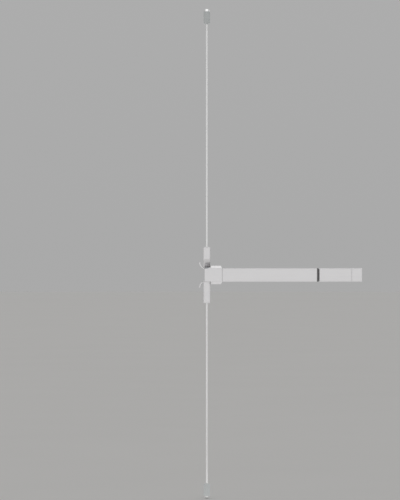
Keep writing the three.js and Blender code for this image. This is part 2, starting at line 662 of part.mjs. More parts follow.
const TRIGGER = { x: [8.8, 12], depth: [8, 16], rise: 6, length: 29, shelf: 1.5, springRoom: 18 };
const LATCH_WALL = 1.5;
const LATCH_SCREW_DEPTH = 14;
const latchScrewZ = (end) => end - 45;
function latchCover(end, mouthRight) {
  const mouth = block([-BOLT.halfWidth - 0.6, mouthRight], [ROD.depth - 7, ROD.depth + 7], [end - 3, end + 1]);
  const low = end - LATCH.height;
  const rodWay = barUp(ROD.radius + 1, 0, ROD.depth, [low - 1, low + 3], 24);
  const face = LATCH.halfWidth;
  const screwWay = barAlong(2.1, [face - 3, face + 1], LATCH_SCREW_DEPTH, latchScrewZ(end), 12);
  const seat = [face - SIDE_SCREW.sink, face + 1];
  const screwSeat = barAlong(SIDE_SCREW.head + GAP, seat, LATCH_SCREW_DEPTH, latchScrewZ(end));
  return cut(latchForm(0, end), latchForm(-LATCH_WALL, end), mouth, rodWay, screwWay, screwSeat);
}

// The plate under a latch's cover: two cheeks guide the bolt, a seat carries its spring, and a
// tab takes the cover's screw. The top one also has a shelf under the trigger's spring.
const SPRING_SEAT = 4;
const LATCH_PLATE = { halfWidth: 11.9, gauge: 2.5, cheek: 1.8, play: 0.4, seatHalfWidth: 6.5 };
function latchBase(end, withTrigger) {
  const { halfWidth, gauge, cheek, play, seatHalfWidth } = LATCH_PLATE;
  const low = end - LATCH.height;
  const cheekWall = (x) => block([x, x + cheek], [2, 21], [end - 36, end - 2]);
  const seatWidth = [-seatHalfWidth, seatHalfWidth];
  const seatBottom = low + SPRING_SEAT - 2;
  const parts = [
    block([-halfWidth, halfWidth], [0, gauge], [low + 6, end - 2]),
    cheekWall(-BOLT.halfWidth - play - cheek),
    cheekWall(BOLT.halfWidth + play),
    block(seatWidth, [0, 20], [seatBottom, low + SPRING_SEAT]),
    block(seatWidth, [0, gauge], [seatBottom, low + 8]),
    block([halfWidth - 2, halfWidth], [2, 20], [latchScrewZ(end) - 3, latchScrewZ(end) + 2.5]),
  ];
  if (withTrigger) {
    const shelf = end + TRIGGER.rise - TRIGGER.length - TRIGGER.springRoom;
    const shelfRun = [shelf - TRIGGER.shelf, shelf];
    parts.push(block([TRIGGER.x[0] - 0.2, halfWidth], [2, TRIGGER.depth[1]], shelfRun));
  }
  const rodWay = barUp(ROD.radius + 0.6, 0, ROD.depth, [low, low + 6], 24);
  const screwWay = barAlong(1.9, [9, 13], LATCH_SCREW_DEPTH, latchScrewZ(end), 12);
  return cut(joined(...parts), rodWay, screwWay);
}

function latchBolt(start, length, slope) {
  const tip = start + length;
  const [back, front] = [ROD.depth - 6, ROD.depth + 6];
  const shape = outline([
    [back, start],
    [front, start],
    [front, tip - slope],
    [front - slope, tip],
    [back + 1.5, tip],
    [back, tip - 1.5],
  ]);
  const body = sideSlab(shape, -BOLT.halfWidth, BOLT.halfWidth);
  return cut(body, barUp(ROD.radius + GAP, 0, ROD.depth, [start - 1, start + BOLT_SOCKET], 24));
}

const BOLT_SPRING = { coil: 5.75, wire: 1.2, turns: 5, clear: 1 };
function boltSpring(seat, boltStart, side) {
  const { coil, wire, turns, clear } = BOLT_SPRING;
  const place = (a, b, c, target) => target.set(a, -ROD.depth + b * side, side * (seat + clear + c));
  return coilSpring(place, coil, wire, boltStart - seat - 2 * clear, turns);
}

const latchScrew = (end) => sideScrew(LATCH.halfWidth, LATCH_SCREW_DEPTH, latchScrewZ(end));

const LOW_END = -LATCH.bottom;
add("top_latch_base", latchBase(LATCH.top, true), zincSteel);
add("top_latch_cover", latchCover(LATCH.top, 12.3), paintedSilver);
add("top_bolt", latchBolt(BOLT_START, BOLT.topLength, 9), brightSteel);
add("top_bolt_spring", boltSpring(LATCH.top - LATCH.height + SPRING_SEAT, BOLT_START, 1), springSteel);
add("top_latch_screw", latchScrew(LATCH.top), brightSteel);
add("bottom_latch_base", mirrored(latchBase(LOW_END, false)), zincSteel);
add("bottom_latch_cover", mirrored(latchCover(LOW_END, BOLT.halfWidth + 0.6)), paintedSilver);
add("bottom_bolt", mirrored(latchBolt(LOW_BOLT_START, BOLT.bottomLength, 2.5)), brightSteel);
add("bottom_bolt_spring", boltSpring(LOW_END - LATCH.height + SPRING_SEAT, LOW_BOLT_START, -1), springSteel);
add("bottom_latch_screw", mirrored(latchScrew(LOW_END)), brightSteel);

// The trigger holds the bolts back until the closing door presses it against the frame.
const triggerStart = LATCH.top + TRIGGER.rise - TRIGGER.length;
const TRIGGER_SPRING = { x: 10.4, coil: 1.1, wire: 0.6, length: 17, turns: 6, drop: 17.5 };
const triggerPlace = (a, b, c, target) =>
  target.set(TRIGGER_SPRING.x + a, -ROD.depth + b, triggerStart - TRIGGER_SPRING.drop + c);
add("top_trigger", block(TRIGGER.x, TRIGGER.depth, [triggerStart, LATCH.top + TRIGGER.rise]), brightSteel);
const { coil, wire, length, turns } = TRIGGER_SPRING;
add("top_trigger_spring", coilSpring(triggerPlace, coil, wire, length, turns), springSteel);

export default model;
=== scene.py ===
"""The looks of a surface-mounted panic exit bar with vertical rods, built round its CAD frame.

Metres. +X runs along the bar and +Z is up. The door's face is the plane y = 0 and everything
stands in front of it, so a point at depth d in this file lies at y = -d.
"""
import json
import math
from collections import namedtuple

import bmesh
import bpy
from bpy.props import FloatProperty, FloatVectorProperty, IntProperty, PointerProperty
from mathutils import Matrix, Vector


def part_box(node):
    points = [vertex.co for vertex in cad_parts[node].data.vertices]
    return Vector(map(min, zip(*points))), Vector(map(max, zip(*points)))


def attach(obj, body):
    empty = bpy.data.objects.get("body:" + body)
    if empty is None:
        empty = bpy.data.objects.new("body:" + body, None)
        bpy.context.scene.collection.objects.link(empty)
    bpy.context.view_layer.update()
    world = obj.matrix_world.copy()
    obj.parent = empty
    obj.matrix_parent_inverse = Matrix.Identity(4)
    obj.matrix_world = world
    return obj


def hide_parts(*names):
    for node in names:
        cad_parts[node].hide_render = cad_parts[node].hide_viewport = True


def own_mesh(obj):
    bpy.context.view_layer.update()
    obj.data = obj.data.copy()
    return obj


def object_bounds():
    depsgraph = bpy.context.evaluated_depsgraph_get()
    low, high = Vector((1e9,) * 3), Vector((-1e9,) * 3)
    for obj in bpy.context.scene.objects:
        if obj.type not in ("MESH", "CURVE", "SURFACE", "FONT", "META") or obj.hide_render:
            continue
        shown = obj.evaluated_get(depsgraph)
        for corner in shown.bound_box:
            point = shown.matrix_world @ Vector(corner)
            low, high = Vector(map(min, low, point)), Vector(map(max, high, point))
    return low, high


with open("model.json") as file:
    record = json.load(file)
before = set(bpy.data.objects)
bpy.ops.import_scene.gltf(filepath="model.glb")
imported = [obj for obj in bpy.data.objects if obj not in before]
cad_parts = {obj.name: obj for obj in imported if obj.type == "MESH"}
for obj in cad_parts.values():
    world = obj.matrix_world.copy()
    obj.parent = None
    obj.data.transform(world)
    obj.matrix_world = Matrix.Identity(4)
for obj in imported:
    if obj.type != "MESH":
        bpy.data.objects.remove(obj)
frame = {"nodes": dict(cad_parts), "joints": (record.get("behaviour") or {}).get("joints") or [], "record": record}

bl_info = {
    "name": "Panic Exit Bar",
    "version": (1, 0, 0),
    "blender": (4, 5, 0),
    "location": "View3D > Sidebar > Exit Bar",
    "description": "Builds the sheet metal, mechanism, fasteners and finishes of a panic exit bar",
    "category": "Object",
}

MM = 0.001
CAD_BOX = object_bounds()
RECORD = frame["record"]
BODY_OF = {node: body for body, nodes in RECORD["behaviour"]["bodies"].items() for node in nodes}
SLOT_OF = {row["node"]: row["material_slot"] for row in RECORD["subparts"]}
JOINTS = {joint["name"]: joint for joint in frame["joints"]}

Span = namedtuple("Span", "x depth z")


def span(node):
    """A node's place at rest: (low, high) along the bar, out from the door, and up."""
    low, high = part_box(node)
    return Span((low.x, high.x), (-high.y, -low.y), (low.z, high.z))


def middle(pair):
    return (pair[0] + pair[1]) / 2


def half_width(pair):
    return (pair[1] - pair[0]) / 2


def from_hex(code):
    """An sRGB hex colour as linear red, green and blue."""
    channels = [int(code[i : i + 2], 16) / 255 for i in (0, 2, 4)]
    return tuple(c / 12.92 if c <= 0.04045 else ((c + 0.055) / 1.055) ** 2.4 for c in channels)


# ---------------------------------------------------------------------------------------------
# Sizes and colours that a user would change


def length(name, description, millimetres):
    return FloatProperty(
        name=name, description=description, default=millimetres * MM, min=0.0, unit="LENGTH", precision=5
    )


def colour(name, description, code):
    return FloatVectorProperty(
        name=name, description=description, default=from_hex(code), size=3, min=0, max=1, subtype="COLOR"
    )


class ExitBarSheet(bpy.types.PropertyGroup):
    wall: length("Sheet thickness", "Thickness of the pressed stainless covers", 1.6)
    bend: length("Bend radius", "Outer radius of the push bar's long bends", 4.0)
    ease: length("Eased edge", "Radius left on a deburred sheet edge", 0.35)
    rail_wall: length("Rail thickness", "Thickness of the rail behind the push bar", 2.0)
    rail_bend: length("Rail bend radius", "Outer radius of the rail's bends", 3.2)


class ExitBarCase(bpy.types.PropertyGroup):
    wall: length("Case thickness", "Wall of the centre case's cover", 2.0)
    shoulder: length("Shoulder depth", "How far the ears slope back from the case's face", 12.0)
    ear_start: length("Start of the ears", "Where the ears begin, right of the rods' line", 17.5)
    rim: length("Rim", "How far the case's top edge stands over the bar beside the ears", 4.0)
    cradle_radius: length("Cradle radius", "Radius of the hollow round the upper rod cover", 50.5)
    cradle_left: length("Cradle offset", "How far left of the rods' line the hollow's centre lies", 6.0)
    cradle_height: length("Cradle height", "Height of the hollow's centre above the bar's middle", 78.0)
    horn_radius: length("Horn radius", "Outer radius of the two curved guards", 33.5)
    horn_inner: length("Horn inner radius", "Inner radius of the two curved guards", 28.0)
    horn_height: length("Horn height", "Height of a horn's centre above the bar's middle", 56.0)
    horn_depth: length("Horn depth", "How far a horn stands out from the door", 16.0)
    soft_edge: length("Soft edge", "Radius of the cover's outer edges", 1.4)
    plate: length("Plate thickness", "Thickness of the case's base plate", 3.0)


class ExitBarHardware(bpy.types.PropertyGroup):
    pitch: length("Thread pitch", "Pitch of the rods' threaded ends", 1.25)
    thread: length("Threaded length", "Length of thread at each rod's inner end", 24.0)
    ramp_near: length("Ramp start", "Where the upper rod cover's front starts to curve out", 33.0)
    ramp_top: length("Ramp end", "Where the upper rod cover's front becomes upright", 74.8)
    ramp_rise: length("Ramp rise", "How far the upper rod cover's front curves out", 20.0)
    latch_wall: length("Latch wall", "Wall of a latch's cover", 1.5)
    latch_chamfer: length("Latch chamfer", "Slope along a latch cover's long edges", 5.0)
    drive: length("Screw drive", "Width of the cross recess in a screw's head", 0.8)
    turn_seed: IntProperty(name="Screw turn seed", description="Seed for each screw's turn", default=7)


class ExitBarFinish(bpy.types.PropertyGroup):
    stainless: colour("Satin stainless", "Brushed stainless steel of the covers", "CDCCCD")
    paint: colour("Silver paint", "Silver-grey paint of the two latches", "ABAEAE")
    zinc: colour("Zinc plating", "Bright zinc on the pressed inner parts", "B9BCC0")
    bright: colour("Bright steel", "Drawn steel of rods, bolts and pins", "DADADA")
    spring: colour("Spring steel", "Oiled spring wire", "8D9093")
    plastic: colour("Dark plastic", "Moulded trims at the push bar's ends", "605E5F")
    nylon: colour("Nylon", "Natural nylon of the crank rollers", "D9D6CC")
    floor: colour("Floor", "Pale studio floor", "E3E2E0")


# ---------------------------------------------------------------------------------------------
# Node trees


def add(tree, kind, links=None, **settings):
    """Adds a node with its settings. Each input takes a value, a socket, or a node's own output."""
    node = tree.nodes.new(kind)
    for key, value in settings.items():
        setattr(node, key, value)
    for key, value in (links or {}).items():
        if isinstance(value, bpy.types.Node):
            value = next(socket for socket in value.outputs if socket.enabled)
        if isinstance(value, bpy.types.NodeSocket):
            tree.links.new(value, node.inputs[key])
        else:
            node.inputs[key].default_value = value
    return node


def finish_tree(name):
    """A new material's tree, with the Object coordinates that its patterns are laid out in."""
    material = bpy.data.materials.new(name)
    material.use_nodes = True
    tree = material.node_tree
    tree.nodes.clear()
    return material, tree, add(tree, "ShaderNodeTexCoord").outputs["Object"]


def close_finish(tree, shader):
    add(tree, "ShaderNodeOutputMaterial", {"Surface": shader})


def streaks(tree, place, grain, run, width):
    """Streaks that run along one axis: how long they run and how wide they are, in millimetres."""
    scale = [1 / (width * MM)] * 3
    scale["xyz".index(grain)] = 1 / (run * MM)
    drawn_out = add(tree, "ShaderNodeMapping", {"Vector": place, "Scale": scale})
    return add(tree, "ShaderNodeTexNoise", {"Vector": drawn_out, "Scale": 1.0, "Detail": 3.0})


# Noise keeps to the middle of its range. This stretch of it is what a pattern's ends are set by.
NOISE = {"From Min": 0.3, "From Max": 0.7}


def varied(tree, base, share, strength):
    """A colour that gets darker and lighter by the strength, as the share goes from low to high."""
    limits = {"Value": share, **NOISE, "To Min": 1 - strength, "To Max": 1 + strength}
    light = add(tree, "ShaderNodeMapRange", limits)
    return add(tree, "ShaderNodeVectorMath", {0: tuple(base), 1: light}, operation="MULTIPLY")


def rubbed_edges(tree, reach):
    """1 along outward edges and 0 a little way from them; the reach is in millimetres."""
    eased_way = add(tree, "ShaderNodeBevel", {"Radius": reach * MM}, samples=6)
    true_way = add(tree, "ShaderNodeNewGeometry").outputs["Normal"]
    agree = add(tree, "ShaderNodeVectorMath", {0: eased_way, 1: true_way}, operation="DOT_PRODUCT")
    limits = {"From Min": 0.995, "From Max": 0.9, "To Min": 0.0, "To Max": 1.0}
    return add(tree, "ShaderNodeMapRange", {"Value": agree.outputs["Value"], **limits})


def satin_stainless_sheet(base, grain):
    """Stainless steel sheet brushed with 180 grit: fine lines along the grain under wide soft
    streaks, a few hand marks that only change the gloss, and edges that handling has polished."""
    material, tree, place = finish_tree(f"satin_stainless_sheet_grain_{grain}")
    # The grit's own lines are 0.1 mm wide. They are drawn 0.8 mm wide, so that they show.
    lines = streaks(tree, place, grain, 70, 0.8)
    broad = streaks(tree, place, grain, 420, 7)
    marks = add(tree, "ShaderNodeTexNoise", {"Vector": place, "Scale": 1 / (55 * MM), "Detail": 2.0})
    tone = add(tree, "ShaderNodeMix", {"Factor": 0.6, "A": lines, "B": broad})
    dull = add(tree, "ShaderNodeMix", {"Factor": 0.35, "A": tone, "B": marks})
    rubbed = add(tree, "ShaderNodeMix", {"Factor": rubbed_edges(tree, 1.2), "A": 0.0, "B": 0.08})
    rough = add(tree, "ShaderNodeMapRange", {"Value": dull, **NOISE, "To Min": 0.27, "To Max": 0.36})
    gloss = add(tree, "ShaderNodeMath", {0: rough, 1: rubbed}, operation="SUBTRACT")
    scratch = add(tree, "ShaderNodeBump", {"Height": lines, "Distance": 0.015 * MM, "Strength": 0.25})
    shader = add(
        tree,
        "ShaderNodeBsdfPrincipled",
        {"Base Color": varied(tree, base, tone, 0.03), "Metallic": 1.0, "Roughness": gloss, "Normal": scratch},
    )
    close_finish(tree, shader)
    return material


def silver_enamel(base, bare):
    """Cast zinc with sprayed silver-grey enamel: an orange-peel skin, slow changes of tone, and
    bare metal where tools and doors have rubbed the edges."""
    material, tree, place = finish_tree("silver_enamel_on_cast_zinc")
    peel = add(tree, "ShaderNodeTexNoise", {"Vector": place, "Scale": 1 / (1.4 * MM), "Detail": 2.0})
    tone = add(tree, "ShaderNodeTexNoise", {"Vector": place, "Scale": 1 / (30 * MM), "Detail": 2.0})
    flecks = add(tree, "ShaderNodeTexNoise", {"Vector": place, "Scale": 1 / (3 * MM), "Detail": 2.0})
    chipped = {"Value": flecks, "From Min": 0.44, "From Max": 0.56, "To Min": 0.0, "To Max": 1.0}
    chips = add(tree, "ShaderNodeMapRange", chipped)
    worn = add(tree, "ShaderNodeMath", {0: rubbed_edges(tree, 0.6), 1: chips}, operation="MULTIPLY")
    bareness = add(tree, "ShaderNodeMapRange", {"Value": worn, "To Min": 0.35, "To Max": 1.0})
    paint = varied(tree, base, tone, 0.03)
    skin = add(tree, "ShaderNodeMix", {"Factor": worn, "A": paint, "B": (*bare, 1.0)}, data_type="RGBA")
    ripple = add(tree, "ShaderNodeBump", {"Height": peel, "Distance": 0.03 * MM, "Strength": 0.3})
    rough = add(tree, "ShaderNodeMapRange", {"Value": peel, **NOISE, "To Min": 0.38, "To Max": 0.46})
    shader = add(
        tree,
        "ShaderNodeBsdfPrincipled",
        {
            "Base Color": skin,
            "Metallic": bareness,
            "Roughness": rough,
            "Normal": ripple,
        },
    )
    close_finish(tree, shader)
    return material


def zinc_plated_steel(base):
    """Pressed mild steel with bright zinc plating: a cool metal with small cloudy crystals."""
    material, tree, place = finish_tree("bright_zinc_plated_steel")
    crystals = add(tree, "ShaderNodeTexVoronoi", {"Vector": place, "Scale": 1 / (5 * MM)})
    cell = add(tree, "ShaderNodeSeparateColor", {"Color": crystals.outputs["Color"]})
    cloud = add(tree, "ShaderNodeTexNoise", {"Vector": place, "Scale": 1 / (14 * MM), "Detail": 2.0})
    tone = add(tree, "ShaderNodeMix", {"Factor": 0.7, "A": cell, "B": cloud})
    skin = add(tree, "ShaderNodeBump", {"Height": cloud, "Distance": 0.04 * MM, "Strength": 0.3})
    rough = add(tree, "ShaderNodeMapRange", {"Value": tone, **NOISE, "To Min": 0.36, "To Max": 0.5})
    shader = add(
        tree,
        "ShaderNodeBsdfPrincipled",
        {
            "Base Color": varied(tree, base, tone, 0.07),
            "Metallic": 1.0,
            "Roughness": rough,
            "Normal": skin,
        },
    )
    close_finish(tree, shader)
    return material


def drawn_bright_steel(base, grain):
    """Cold-drawn steel bar, polished: faint lines along its length and a clear shine."""
    material, tree, place = finish_tree(f"drawn_bright_steel_grain_{grain}")
    # Die lines are 0.05 mm wide and drawn 0.5 mm wide.
    lines = streaks(tree, place, grain, 90, 0.5)
    stain = add(tree, "ShaderNodeTexNoise", {"Vector": place, "Scale": 1 / (40 * MM), "Detail": 2.0})
    dull = add(tree, "ShaderNodeMix", {"Factor": 0.5, "A": lines, "B": stain})
    scratch = add(tree, "ShaderNodeBump", {"Height": lines, "Distance": 0.01 * MM, "Strength": 0.2})
    rough = add(tree, "ShaderNodeMapRange", {"Value": dull, **NOISE, "To Min": 0.18, "To Max": 0.28})
    shader = add(
        tree,
        "ShaderNodeBsdfPrincipled",
        {
            "Base Color": varied(tree, base, lines, 0.03),
            "Metallic": 1.0,
            "Roughness": rough,
            "Normal": scratch,
        },
    )
    close_finish(tree, shader)
    return material


def oiled_spring_wire(base):
    """Oil-tempered spring wire: dark steel with a thin uneven film of oil."""
    material, tree, place = finish_tree("oil_tempered_spring_wire")
    film = add(tree, "ShaderNodeTexNoise", {"Vector": place, "Scale": 1 / (3 * MM), "Detail": 2.0})
    rough = add(tree, "ShaderNodeMapRange", {"Value": film, **NOISE, "To Min": 0.28, "To Max": 0.42})
    shader = add(
        tree,
        "ShaderNodeBsdfPrincipled",
        {
            "Base Color": varied(tree, base, film, 0.12),
            "Metallic": 1.0,
            "Roughness": rough,
            "Coat Weight": 0.3,
        },
    )
    close_finish(tree, shader)
    return material


def moulded_plastic(name, base, matt):
    """Injection-moulded plastic with a spark-eroded grain: matt, with fine even pits."""
    material, tree, place = finish_tree(name)
    pits = add(tree, "ShaderNodeTexNoise", {"Vector": place, "Scale": 1 / (0.8 * MM), "Detail": 2.0})
    sink = add(tree, "ShaderNodeTexNoise", {"Vector": place, "Scale": 1 / (18 * MM), "Detail": 2.0})
    grain = add(tree, "ShaderNodeBump", {"Height": pits, "Distance": 0.04 * MM, "Strength": 0.4})
    limits = {"Value": pits, **NOISE, "To Min": matt - 0.06, "To Max": matt + 0.06}
    rough = add(tree, "ShaderNodeMapRange", limits)
    shader = add(
        tree,
        "ShaderNodeBsdfPrincipled",
        {
            "Base Color": varied(tree, base, sink, 0.08),
            "Roughness": rough,
            "Normal": grain,
        },
    )
    close_finish(tree, shader)
    return material


def studio_floor(base):
    """Painted plywood studio floor: matt and pale, with slow changes of tone."""
    material, tree, place = finish_tree("matt_studio_floor_paint")
    slow = add(tree, "ShaderNodeTexNoise", {"Vector": place, "Scale": 1 / (900 * MM), "Detail": 2.0})
    shader = add(
        tree,
        "ShaderNodeBsdfPrincipled",
        {
            "Base Color": varied(tree, base, slow, 0.006),
            "Roughness": 0.9,
            "Specular IOR Level": 0.1,
        },
    )
    close_finish(tree, shader)
    return material


MATERIALS = {}


def finish_for(slot, grain):
    """The material of one of the record's slots, made the first time it is asked for. Brushed and
    drawn steel have one for each way that their grain runs."""
    finish = bpy.context.scene.exit_bar_finish
    if slot not in ("satin_stainless", "bright_steel"):
        grain = ""
    if (slot, grain) in MATERIALS:
        return MATERIALS[slot, grain]
    makers = {
        "satin_stainless": (satin_stainless_sheet, finish.stainless, grain),
        "bright_steel": (drawn_bright_steel, finish.bright, grain),
        "silver_paint": (silver_enamel, finish.paint, finish.bright),
        "zinc_plated_steel": (zinc_plated_steel, finish.zinc),
        "spring_steel": (oiled_spring_wire, finish.spring),
        "black_plastic": (moulded_plastic, "moulded_dark_abs", finish.plastic, 0.5),
        "nylon": (moulded_plastic, "moulded_natural_nylon", finish.nylon, 0.42),
    }
    make, *given = makers[slot]
    MATERIALS[slot, grain] = make(*given)
    return MATERIALS[slot, grain]


# ---------------------------------------------------------------------------------------------
# Outlines and solids


def fillet(corners, radius=0.0, steps=7):
    """A closed outline with its corners rounded. A corner is (u, v), or (u, v, own radius)."""
    rounded = []
    for i, corner in enumerate(corners):
        here = Vector(corner[:2])
        size = corner[2] if len(corner) > 2 else radius
        before = (Vector(corners[i - 1][:2]) - here).normalized()
        after = (Vector(corners[(i + 1) % len(corners)][:2]) - here).normalized()
        if size <= 0:
            rounded.append(here)
            continue
        half = before.angle(after) / 2
        centre = here + (before + after).normalized() * (size / math.sin(half))
        first = here + before * (size / math.tan(half)) - centre
        last = here + after * (size / math.tan(half)) - centre
        turn = math.atan2(first.cross(last), first.dot(last))
        for k in range(steps + 1):
            rounded.append(centre + Matrix.Rotation(turn * k / steps, 2) @ first)
    return rounded


def arc(centre, radius, start, end, steps):
    """Points on an arc, with its angles in degrees."""
    angles = [math.radians(start + (end - start) * k / steps) for k in range(steps + 1)]
    return [(centre[0] + radius * math.cos(a), centre[1] + radius * math.sin(a)) for a in angles]


def object_of(bm, name):
    """Turns a bmesh into an object of the scene."""
    mesh = bpy.data.meshes.new(name)
    bm.to_mesh(mesh)
    bm.free()
    made = bpy.data.objects.new(name, mesh)
    bpy.context.scene.collection.objects.link(made)
    return made


PLACES = {
    "x": lambda u, v, t: (t, -u, v),
    "depth": lambda u, v, t: (u, -t, v),
    "z": lambda u, v, t: (u, -v, t),
}


def prism(outline, low, high, along, name="prism"):
    """A solid of that outline between low and high. Its outline is (depth, z) along x, (x, z)
    along the depth, and (x, depth) along z."""
    bm = bmesh.new()
    place = PLACES[along]
    rings = [[bm.verts.new(place(u, v, t)) for u, v in outline] for t in (low, high)]
    for ring in rings:
        bm.faces.new(ring)
    for i in range(len(outline)):
        bm.faces.new((rings[0][i - 1], rings[0][i], rings[1][i], rings[1][i - 1]))
    bmesh.ops.recalc_face_normals(bm, faces=bm.faces)
    return object_of(bm, name)


def block(x, depth, z, name="block"):
    corners = [(x[0], z[0]), (x[1], z[0]), (x[1], z[1]), (x[0], z[1])]
    return prism(corners, depth[0], depth[1], "depth", name)


def grid_solid(rings, name, closed=False):
    """A solid whose surface passes through rings of points. It is capped, or closed on itself."""
    bm = bmesh.new()
    made = [[bm.verts.new(point) for point in ring] for ring in rings]
    pairs = list(zip(made, made[1:]))
    if closed:
        pairs.append((made[-1], made[0]))
    for one, other in pairs:
        for i in range(len(one)):
            bm.faces.new((one[i - 1], one[i], other[i], other[i - 1]))
    if not closed:
        bm.faces.new(made[0])
        bm.faces.new(made[-1])
    bmesh.ops.recalc_face_normals(bm, faces=bm.faces)
    return object_of(bm, name)


def round_point(along, centre, radius, angle, t):
    """A point at an angle round an axis; centre is where the axis runs, in the outline's plane."""
    u = centre[0] + radius * math.cos(angle)
    v = centre[1] + radius * math.sin(angle)
    return PLACES[along](u, v, t)


def turned(profile, along, centre, name="turned", sides=40, closed=False):
    """A turned solid. Its profile is (radius, place along the axis)."""
    steps = [2 * math.pi * k / sides for k in range(sides)]
    rings = [[round_point(along, centre, r, a, t) for a in steps] for r, t in profile]
    return grid_solid(rings, name, closed)


def drill(radius, along, centre, low, high):
    return turned([(radius, low), (radius, high)], along, centre, "drill", 32)


def settle(made):
    """Makes an object's modifiers part of its mesh."""
    shown = made.evaluated_get(bpy.context.evaluated_depsgraph_get())
    mesh = bpy.data.meshes.new_from_object(shown)
    made.modifiers.clear()
    made.data = mesh
    return made


def carve(body, *tools, operation="DIFFERENCE"):
    """Takes each tool away from the body, or joins it, or keeps what they share."""
    for tool in tools:
        modifier = body.modifiers.new("carve", "BOOLEAN")
        modifier.operation = operation
        modifier.solver = "EXACT"
        modifier.object = tool
    bpy.context.view_layer.update()
    settle(body)
    for tool in tools:
        bpy.data.objects.remove(tool)
    return body


def upside_down(made):
    """Mirrors an object at the bar's mid-height."""
    made.data.transform(Matrix.Scale(-1, 4, (0, 0, 1)))
    made.data.flip_normals()
    return made


def tidy_facets(made):
    """Merges doubled points and joins the facets of each flat face."""
    bm = bmesh.new()
    bm.from_mesh(made.data)
    bmesh.ops.remove_doubles(bm, verts=bm.verts, dist=0.004 * MM)
    flat = math.radians(0.6)
    bmesh.ops.dissolve_limit(bm, angle_limit=flat, verts=bm.verts, edges=bm.edges)
    for edge in bm.edges:
        edge.smooth = True
    bm.to_mesh(made.data)
    bm.free()
    if "custom_normal" in made.data.attributes:
        made.data.attributes.remove(made.data.attributes["custom_normal"])
    return made


def eased(made, radius, segments=2):
    """Rounds an object's sharp edges and shades it smooth, with its flat faces kept flat."""
    tidy_facets(made)
    made.data.shade_smooth()
    bevel = made.modifiers.new("eased edges", "BEVEL")
    bevel.width = radius
    bevel.segments = segments
    bevel.limit_method = "ANGLE"
    bevel.angle_limit = math.radians(32)
    flats = made.modifiers.new("flat faces", "WEIGHTED_NORMAL")
    flats.weight = 100
    flats.keep_sharp = True
    return made


def cad_copy(node):
    """A copy of a CAD node's solid, ready to be worked on."""
    made = bpy.data.objects.new(node, frame["nodes"][node].data.copy())
    bpy.context.scene.collection.objects.link(made)
    return made


def stand_in(made, *nodes, grain="x"):
    """Names, finishes and mounts a piece that stands for CAD nodes of one body."""
    made.name = f"fine_{nodes[0]}"
    slot = SLOT_OF[nodes[0]]
    made.data.materials.clear()
    made.data.materials.append(finish_for(slot, grain))
    for face in made.data.polygons:
        face.material_index = 0
    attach(made, BODY_OF[nodes[0]])
    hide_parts(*nodes)
    return made


# ---------------------------------------------------------------------------------------------
# The bar


def channel(node, sheet):
    """A cover folded from sheet, open towards the door."""
    at = span(node)
    back, face = at.depth
    half = at.z[1]
    inner = sheet.bend - sheet.wall
    corners = [
        (back, half),
        (face, half, sheet.bend),
        (face, -half, sheet.bend),
        (back, -half),
        (back, sheet.wall - half),
        (face - sheet.wall, sheet.wall - half, inner),
        (face - sheet.wall, half - sheet.wall, inner),
        (back, half - sheet.wall),
    ]
    return eased(prism(fillet(corners), *at.x, "x"), sheet.ease)


class ExitBarRail(bpy.types.Operator):
    """Builds the rail on the door that carries the push bar's mechanism"""

    bl_idname = "exit_bar.rail"
    bl_label = "Rail"

    def execute(self, context):
        sheet = context.scene.exit_bar_sheet
        at = span("mechanism_rail")
        back, face = at.depth
        half, wall = at.z[1], sheet.rail_wall
        inner = sheet.rail_bend - wall
        corners = [
            (back, -half, sheet.rail_bend),
            (face, -half),
            (face, wall - half),
            (back + wall, wall - half, inner),
            (back + wall, half - wall, inner),
            (face, half - wall),
            (face, half),
            (back, half, sheet.rail_bend),
        ]
        rail = prism(fillet(corners), *at.x, "x")
        carve(rail, *self.fixing_slots(at, wall))
        stand_in(eased(rail, sheet.ease), "mechanism_rail")
        return {"FINISHED"}

    def fixing_slots(self, at, wall):
        """Oblong holes through the rail's back, each between two of its fittings."""
        slots = []
        slot_half, radius = 9 * MM, 3 * MM
        for share in (0.22, 0.5, 0.84):
            x = at.x[0] + share * (at.x[1] - at.x[0])
            outline = arc((x - slot_half, 0), radius, 90, 270, 10)
            outline += arc((x + slot_half, 0), radius, -90, 90, 10)
            slots.append(prism(outline, -wall, 2 * wall, "depth"))
        return slots


class ExitBarPushBar(bpy.types.Operator):
    """Builds the push bar with its dark end trims"""

    bl_idname = "exit_bar.push_bar"
    bl_label = "Push Bar"

    def execute(self, context):
        sheet = context.scene.exit_bar_sheet
        stand_in(channel("push_bar", sheet), "push_bar")
        self.end_trim(sheet)
        self.inner_trim(sheet)
        return {"FINISHED"}

    def end_trim(self, sheet):
        """A moulded frame that closes the push bar's free end and slides over the rail."""
        at = span("push_bar_end_trim")
        back, face = at.depth
        half = at.z[1]
        way = half - sheet.wall
        roof = span("mechanism_rail").depth[1] + JOINTS["push_bar_slide"]["range_m"][1] + 0.3 * MM
        corners = [
            (back, half),
            (face, half, sheet.bend),
            (face, -half, sheet.bend),
            (back, -half),
            (back, -way),
            (roof, -way, 1 * MM),
            (roof, way, 1 * MM),
            (back, way),
        ]
        trim = prism(fillet(corners), *at.x, "x")
        recess = [(roof + 3 * MM, -way + 3 * MM), (face - 3 * MM, -way + 3 * MM)]
        recess += [(face - 3 * MM, way - 3 * MM), (roof + 3 * MM, way - 3 * MM)]
        carve(trim, prism(fillet(recess, 1.5 * MM), at.x[1] - 1.2 * MM, at.x[1] + MM, "x"))
        stand_in(eased(trim, 0.6 * MM, 3), "push_bar_end_trim")

    def inner_trim(self, sheet):
        at = span("push_bar_inner_trim")
        corners = [
            (at.depth[0], at.z[0]),
            (at.depth[1], at.z[0], sheet.bend - sheet.wall),
            (at.depth[1], at.z[1], sheet.bend - sheet.wall),
            (at.depth[0], at.z[1]),
        ]
        stand_in(eased(prism(fillet(corners), *at.x, "x"), 0.4 * MM), "push_bar_inner_trim")


